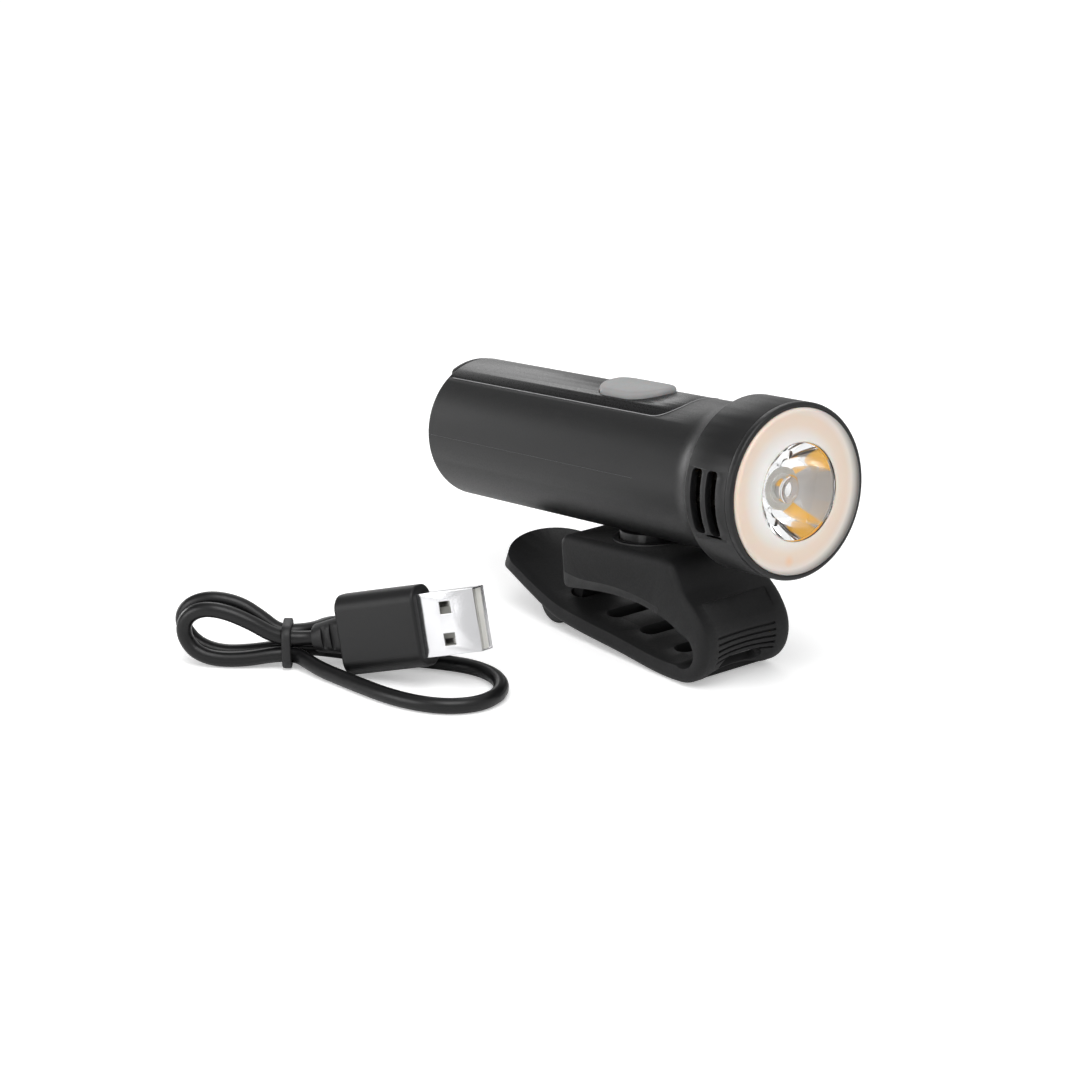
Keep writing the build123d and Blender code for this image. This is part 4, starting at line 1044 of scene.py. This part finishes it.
@dataclass
class ChargeCable:
    """The charge cable: its jacket on a smooth route, the two plugs and the ring that ties its loops.

    Attributes:
        diameter: The jacket's diameter, in millimetres.
    """

    frame: Frame
    diameter: float = 3.0

    def route(self) -> list[Triple]:
        """Give the cable's route in millimetres, from the large plug's strain relief to the small plug."""
        return [
            (-57.97, 21.35, 6.21), (-59.52, 24.25, 5.35), (-65.0, 27.2, 6.0),
            (-68.9, 30.7, 9.2), (-72.8, 34.6, 11.3), (-75.8, 38.0, 11.2),
            (-77.6, 40.2, 8.8), (-77.9, 40.0, 5.6), (-76.8, 38.2, 2.8),
            (-74.4, 35.2, 1.5), (-70.2, 31.2, 1.6), (-65.0, 27.2, 2.7),
            (-62.0, 24.8, 2.5), (-61.8, 21.2, 2.0), (-61.6, 17.0, 1.6),
            (-60.9, 11.4, 1.5), (-60.3, 5.2, 1.5), (-59.4, -1.2, 1.5),
            (-57.4, -7.4, 1.5), (-53.9, -12.4, 1.5), (-48.8, -14.9, 1.5),
            (-43.4, -13.9, 1.5), (-39.4, -10.2, 1.5), (-37.5, -5.0, 1.5),
            (-38.0, 0.4, 1.5), (-40.4, 5.2, 1.5), (-43.6, 9.8, 1.5),
            (-47.0, 14.4, 1.5), (-50.4, 19.0, 1.6), (-54.0, 23.0, 2.0),
            (-57.2, 25.8, 2.5), (-60.0, 27.4, 2.7), (-62.9, 29.8, 2.7),
            (-67.0, 33.4, 1.8), (-71.0, 36.9, 1.5), (-74.0, 40.3, 2.6),
            (-75.6, 43.0, 5.2), (-75.8, 44.0, 8.0), (-74.6, 42.8, 10.7),
            (-71.6, 39.8, 12.1), (-67.8, 36.0, 11.2), (-65.2, 32.8, 8.8),
            (-62.9, 29.8, 6.0), (-59.9, 27.5, 6.0), (-56.4, 27.0, 5.8),
            (-53.0, 28.2, 5.6), (-50.24, 27.89, 5.4), (-48.06, 24.66, 5.4),
        ]

    def build(self) -> None:
        route = self.route()
        data = bpy.data.curves.new("cable_jacket", "CURVE")
        data.dimensions = "3D"
        spline = data.splines.new("NURBS")
        spline.points.add(len(route) - 1)
        for point, (x, y, z) in zip(spline.points, route):
            point.co = (x * MM, y * MM, z * MM, 1.0)
        spline.order_u = 3
        spline.use_endpoint_u = True
        spline.resolution_u = 8
        data.bevel_depth = self.diameter / 2 * MM
        data.bevel_resolution = 6
        data.use_fill_caps = True
        jacket = add_object("cable_jacket", data)
        add_piece(jacket, Body.MOUNT, JACKET_TPE.make(), "cable_jacket", "charge_cord")
        finishes = {
            "cord_tie": TIE_RUBBER,
            "usb_plug_grip": PLUG_TPE,
            "device_plug_grip": PLUG_TPE,
            "usb_plug_shell": NICKEL_PLATE,
            "device_plug_shell": NICKEL_PLATE,
            "usb_plug_insert": PLUG_INSERT,
            "usb_plug_contacts": CONTACT_TIN,
        }
        dress(self.frame, finishes)
        edges = {"usb_plug_grip": 0.1, "device_plug_grip": 0.1, "usb_plug_shell": 0.06, "cord_tie": 0.3}
        soften(self.frame, edges)


@dataclass
class Studio:
    """The pale floor, the soft lights and the camera.

    Lengths are in millimetres.

    Attributes:
        camera_at: The camera's place in the row frame.
        ahead: The way it looks.
        down: The picture's downward direction.
        focal: Its focal length in pixels of the photograph.
        floor_half: Half of the floor's side.
        floor_drop: How far it lies below the plane that the object stands on.
        floor_lift: What the floor's colour gains to the camera alone, so it shows white.
        room_level: Strength of the white room.
        dim_way: The way in which the room is dimmer, as a studio's unlit end is.
        dim_level: Strength of the room there.
        dim_edge: Cosines of the angles from that way at which the dim part starts and is complete.
        softboxes: Name, place, side and power in watts of each soft light.
        aim: The point that they face.
    """

    camera_at: Triple = (-358.70, -422.13, 208.94)
    ahead: Triple = (0.58956, 0.73975, -0.32432)
    down: Triple = (-0.20300, -0.25293, -0.94595)
    focal: float = 2984.0
    floor_half: float = 3000.0
    floor_drop: float = 0.05
    floor_lift: float = 0.34
    room_level: float = 0.75
    dim_way: Triple = (-0.34, 0.74, 0.58)
    dim_level: float = 0.25
    dim_edge: Pair = (0.7, 0.92)
    softboxes: tuple[tuple[str, Triple, float, float], ...] = (
        ("key_softbox", (-250, -300, 700), 500, 3.0),
        ("side_softbox", (-700, 150, 250), 400, 1.5),
        ("rear_softbox", (-120, 620, 40), 260, 0.8),
        ("top_softbox", (330, 620, 380), 300, 0.42),
    )
    aim: Triple = (-15.0, 0.0, 25.0)

    def camera(self) -> None:
        """Make the camera at the photograph's angle."""
        data = bpy.data.cameras.new("camera")
        data.sensor_width = 36.0
        data.lens = self.focal / IMAGE_SIDE * data.sensor_width
        camera = add_object("camera", data)
        look = Vector(self.ahead).normalized()
        up = -Vector(self.down)
        right = look.cross(up).normalized()
        up = right.cross(look)
        turn = Matrix((right, up, -look)).transposed().to_4x4()
        camera.matrix_world = Matrix.Translation(Vector(self.camera_at) * MM) @ turn
        bpy.context.scene.camera = camera

    def floor(self) -> None:
        """Lay the pale floor, which shows white to the camera and keeps the lamp's shadow."""
        half = self.floor_half * MM
        corners = [Vector((x * half, y * half, 0)) for x, y in ((-1, -1), (1, -1), (1, 1), (-1, 1))]
        floor = plain_mesh("floor", corners, faces=[(0, 1, 2, 3)])
        floor.location.z = -self.floor_drop * MM
        material, tree, shader = new_material("matte_white_floor")
        camera_ray = add_node(tree, "ShaderNodeLightPath").outputs["Is Camera Ray"]
        surface = {
            "Base Color": linear("fbfbfb"),
            "Roughness": 0.9,
            "Specular IOR Level": 0.1,
            "Emission Color": linear("ffffff"),
            "Emission Strength": work_out(tree, "MULTIPLY", camera_ray, self.floor_lift),
        }
        feed(tree, shader, surface)
        floor.data.materials.append(material)

    def world(self) -> None:
        """Set the white room, dimmer at one end, but plain white to the camera and through the optic."""
        world = bpy.data.worlds.new("white_room")
        bpy.context.scene.world = world
        world.use_nodes = True
        tree = world.node_tree
        tree.nodes.clear()
        path = add_node(tree, "ShaderNodeLightPath")
        seen = work_out(tree, "MAXIMUM", path.outputs["Is Camera Ray"], path.outputs["Is Transmission Ray"])
        way = add_node(tree, "ShaderNodeTexCoord").outputs["Generated"]
        toward = work_out(tree, "DOT_PRODUCT", way, Vector(self.dim_way).normalized(), kind=VECTOR_MATH)
        level = spread(tree, toward, self.dim_edge, (self.room_level, self.dim_level))
        white = linear("ffffff")
        room = add_node(tree, "ShaderNodeBackground", {"Color": white, "Strength": level})
        backdrop = add_node(tree, "ShaderNodeBackground", {"Color": white, "Strength": 1.0})
        mixed = add_node(tree, "ShaderNodeMixShader", {0: seen, 1: room.outputs[0], 2: backdrop.outputs[0]})
        add_node(tree, "ShaderNodeOutputWorld", {"Surface": mixed.outputs[0]})

    def softbox(self, name: str, place: Sequence[float], size: float, power: float) -> None:
        """Add a square soft light that points at the lamp.

        Args:
            name: The light's name.
            place: Its place in millimetres.
            size: Its side in millimetres.
            power: Its power in watts.
        """
        data = bpy.data.lights.new(name, "AREA")
        data.size = size * MM
        data.energy = power
        light = add_object(name, data)
        spot = Vector(place) * MM
        turn = (Vector(self.aim) * MM - spot).to_track_quat("-Z", "Y").to_matrix()
        light.matrix_world = Matrix.Translation(spot) @ turn.to_4x4()

    def build(self) -> None:
        """Set up the whole studio."""
        self.floor()
        self.world()
        for name, place, size, power in self.softboxes:
            self.softbox(name, place, size, power)
        self.camera()
        bpy.context.scene.view_settings.view_transform = "Standard"


def main() -> None:
    """Build the scene, sub-assembly by sub-assembly."""
    logging.basicConfig(level=logging.INFO, format="%(name)s: %(message)s")
    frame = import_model()
    swivel = next(joint for joint in frame["joints"] if joint["name"] == "lamp_swivel")
    axes = LampAxes.from_swivel(swivel)
    Studio().build()
    Housing(frame, axes).build()
    Optic(frame, axes).build()
    HandlebarMount(frame).build()
    ChargeCable(frame).build()


if __name__ == "__main__":
    main()
